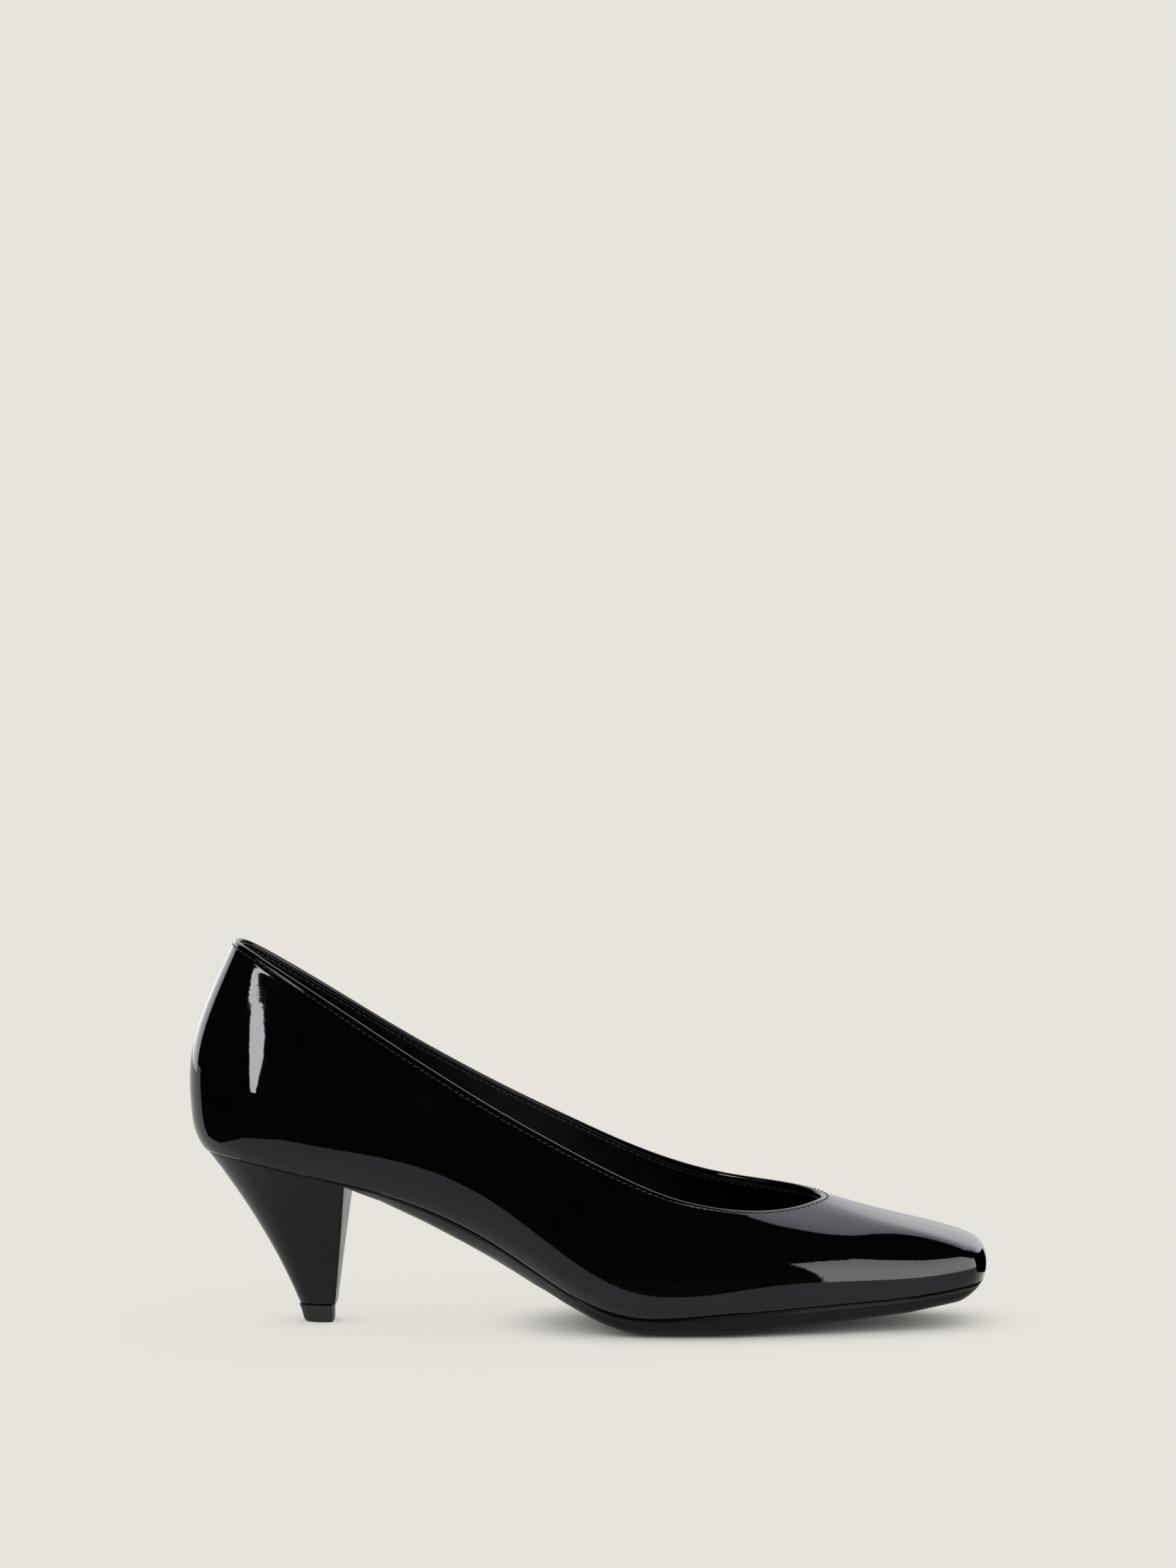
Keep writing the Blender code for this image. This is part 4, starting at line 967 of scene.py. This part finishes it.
# ------------------------------------------------------------------ studio
PALE = (0.800, 0.775, 0.724)  # colour of the floor and of all that lies beyond it
FLOOR_SHADE = 0.13  # share of the floor's light that comes from all round
PAINTED_SHADOW_SHARE = 0.87  # share of the floor's glow that the painted contact shadow takes away where something stands close over it
CLOSE = 0.020  # how close that is
FLOOR_Z = -1e-4
CLOTH_Z = 5e-4


def stage_mesh(name, points, faces, look):
    mesh = bpy.data.meshes.new(name)
    mesh.from_pydata(points, [], faces)
    mesh.materials.append(look)
    made = bpy.data.objects.new(name, mesh)
    bpy.context.scene.collection.objects.link(made)
    return made


def only_for_gloss(made):
    """Leaves it to be mirrored, with no light or shadow of its own and out of the camera's sight."""
    made.visible_camera = made.visible_diffuse = made.visible_transmission = False
    made.visible_shadow = made.visible_volume_scatter = False


def glow(name, colour, strength=None):
    """Light of one colour. With no strength given, the mesh's own "level" says it at each point."""
    made = bpy.data.materials.new(name)
    made.use_nodes = True
    nodes, links = made.node_tree.nodes, made.node_tree.links
    nodes.clear()
    out = nodes.new("ShaderNodeOutputMaterial")
    light = nodes.new("ShaderNodeEmission")
    light.inputs["Color"].default_value = (*colour, 1)
    links.new(light.outputs[0], out.inputs["Surface"])
    if strength is None:
        level = nodes.new("ShaderNodeAttribute")
        level.attribute_name = "level"
        links.new(level.outputs["Fac"], light.inputs["Strength"])
    else:
        light.inputs["Strength"].default_value = strength
    return made


def direction(azimuth, elevation):
    """Azimuth 0 is toward the camera's side, -Y, and 90 toward the toe, +X."""
    a, e = math.radians(azimuth), math.radians(elevation)
    return Vector((math.sin(a) * math.cos(e), -math.cos(a) * math.cos(e), math.sin(e)))


def on_edge(edge, share):
    """The (azimuth, elevation) that lies this share of the way along the edge's corners."""
    corners = np.linspace(0, 1, len(edge))
    return np.array([np.interp(share, corners, [corner[k] for corner in edge]) for k in (0, 1)])


def softbox(name, at, distance, low, high, level, colour=(1.0, 1.0, 1.0)):
    """A curved light panel as seen from the point it lights: two edges as (azimuth, elevation), and
    level as (share of the way from the first edge to the second, strength). Only gloss sees it."""
    at = Vector(at)
    columns, rows = 48, 24
    points, strength = [], []
    for r in range(rows + 1):
        up = r / rows
        for c in range(columns + 1):
            start, end = on_edge(low, c / columns), on_edge(high, c / columns)
            points.append(at + direction(*(start + (end - start) * up)) * distance)
            strength.append(float(np.interp(up, *zip(*level))))
    panel = stage_mesh(name, points, quads(rows + 1, columns + 1), glow(name, colour))
    shade = panel.data.attributes.new("level", "FLOAT", "POINT")
    shade.data.foreach_set("value", strength)
    only_for_gloss(panel)


def floor_paper():
    """Paper that glows evenly, except for a painted contact shadow: its glow is dimmed where something
    stands close over it. It takes some light from all round too. From underneath it lets the eye through."""
    look = Look("floor_paper", roughness=0.9, specular=0.0)
    look.put(look.shader, Base_Color=(*grey(FLOOR_SHADE), 1), Emission_Color=(*PALE, 1))
    # Painted contact shadow: an occlusion test dims the floor's glow where something stands close over it.
    close = look.put(look.add("ShaderNodeAmbientOcclusion", samples=24), Distance=CLOSE)
    near = look.span(close.outputs["AO"], 0.0, PAINTED_SHADOW_SHARE ** 0.5, at_low=1.0, at_high=0.0)
    painted_shadow = look.sum(near, near, "MULTIPLY")
    look.put(look.shader, Emission_Strength=look.sum(1 - FLOOR_SHADE, painted_shadow, "SUBTRACT"))
    pick = look.add("ShaderNodeMixShader")
    shown = (look.add("ShaderNodeNewGeometry").outputs["Backfacing"], look.shader.outputs[0],
             look.add("ShaderNodeBsdfTransparent").outputs[0])
    for socket, value in zip(pick.inputs, shown):
        look.tree.links.new(value, socket)
    look.tree.links.new(pick.outputs[0], look.tree.nodes["Material Output"].inputs["Surface"])
    return look.material


# One triangle, so that no edge between two faces runs through the picture.
stage_mesh("floor", [(-150, -60, FLOOR_Z), (150, -60, FLOOR_Z), (0, 240, FLOOR_Z)], [(0, 1, 2)],
           floor_paper())

# Everything beyond the floor has the floor's own colour, and gloss sees only the panels and the floor.
world = bpy.data.worlds.new("even_light")
world.use_nodes = True
world.node_tree.nodes["Background"].inputs["Color"].default_value = (*PALE, 1)
world.node_tree.nodes["Background"].inputs["Strength"].default_value = 1.0
world.cycles_visibility.glossy = False
bpy.context.scene.world = world

# Black cloth lies on the floor well in front of the shoe, so its side mirrors dark above a pale foot.
CLOTHS = (("dark_cloth", [(-59, -59), (30, -59), (0.06, -0.155), (-0.145, -0.15), (-0.19, -0.09),
                          (-0.197, -0.01), (-0.24, 0.035), (-59, 21.5)]),
          ("dark_cloth_toe", [(0.204, 0.015), (40, 7), (40, 59), (13, 59), (0.138, 0.083)]))
for name, corners in CLOTHS:
    only_for_gloss(stage_mesh(name, [(x, y, CLOTH_Z) for x, y in corners], [list(range(len(corners)))],
                              glow(name, (0, 0, 0), 0.0)))

# The places that the panels light: the outer side of the toe and of the heel, and over the vamp.
toe_side = (0.085, -0.02, 0.03)
heel_side = (-0.075, -0.03, 0.08)
over = (0.05, 0.0, 0.05)
softbox("front_box", toe_side, 1.4, [(28, -2), (47, -2), (66, -2), (85, -2), (104, -2)],
        [(28, 36), (44, 52), (60, 50), (90, 27), (104, 22)],
        [(0, 3.6), (0.1, 5.0), (0.7, 4.7), (1, 3.6)], (1.0, 1.0, 0.82))
softbox("side_strip", heel_side, 6,
        [(-33.5, -0.7), (-33.4, 3), (-33.4, 10), (-34, 16),
         (-36.9, 23.5), (-42.7, 28.2), (-51, 29.2), (-60, 30.6)],
        [(-30, -0.7), (-27.7, 3.5), (-25.3, 11), (-23.5, 17),
         (-24.5, 23.7), (-30.3, 27.8), (-38.5, 29.1), (-50, 30.6)],
        [(0, 12), (0.15, 14.5), (1, 14.5)], (0.97, 1.0, 0.84))
softbox("back_wall", over, 1.7,
        [(122, 50), (132, 34), (138, 22), (144, 13), (150, 8), (156, 4), (166, -2), (200, -2)],
        [(122, 56), (132, 59.3), (138, 60.2), (144, 60.5),
         (150, 59.4), (156, 58.0), (166, 57.6), (200, 57.6)],
        [(0, 1.0), (0.25, 1.1), (0.55, 1.95), (0.75, 1.85), (1, 1.3)], (0.97, 0.98, 1.0))
softbox("back_left", over, 1.7, [(200, -2), (242, -2)], [(200, 58), (242, 50)],
        [(0, 2.3), (1, 1.9)], (0.97, 0.98, 1.0))
softbox("overhead", over, 1.6, [(130, 77), (230, 77)], [(130, 89), (230, 89)], [(0, 1.6), (1, 1.6)])

# ------------------------------------------------------------------ camera
EYE = (0.07794, -1.78246, 0.28360)
TURN, DOWN, ROLL = 2.477, 3.733, -0.37  # degrees to the left, below level, and about its own axis

camera = bpy.data.cameras.new("camera")
camera.lens = 132.85
camera.clip_start, camera.clip_end = 0.05, 200
eye = bpy.data.objects.new("camera", camera)
bpy.context.scene.collection.objects.link(eye)
eye.matrix_world = (Matrix.Translation(EYE)
                    @ Matrix.Rotation(math.radians(TURN), 4, "Z")
                    @ Matrix.Rotation(math.radians(90 - DOWN), 4, "X")
                    @ Matrix.Rotation(math.radians(ROLL), 4, "Z"))
bpy.context.scene.camera = eye
bpy.context.scene.view_settings.view_transform = "Standard"
bpy.context.scene.view_settings.look = "None"
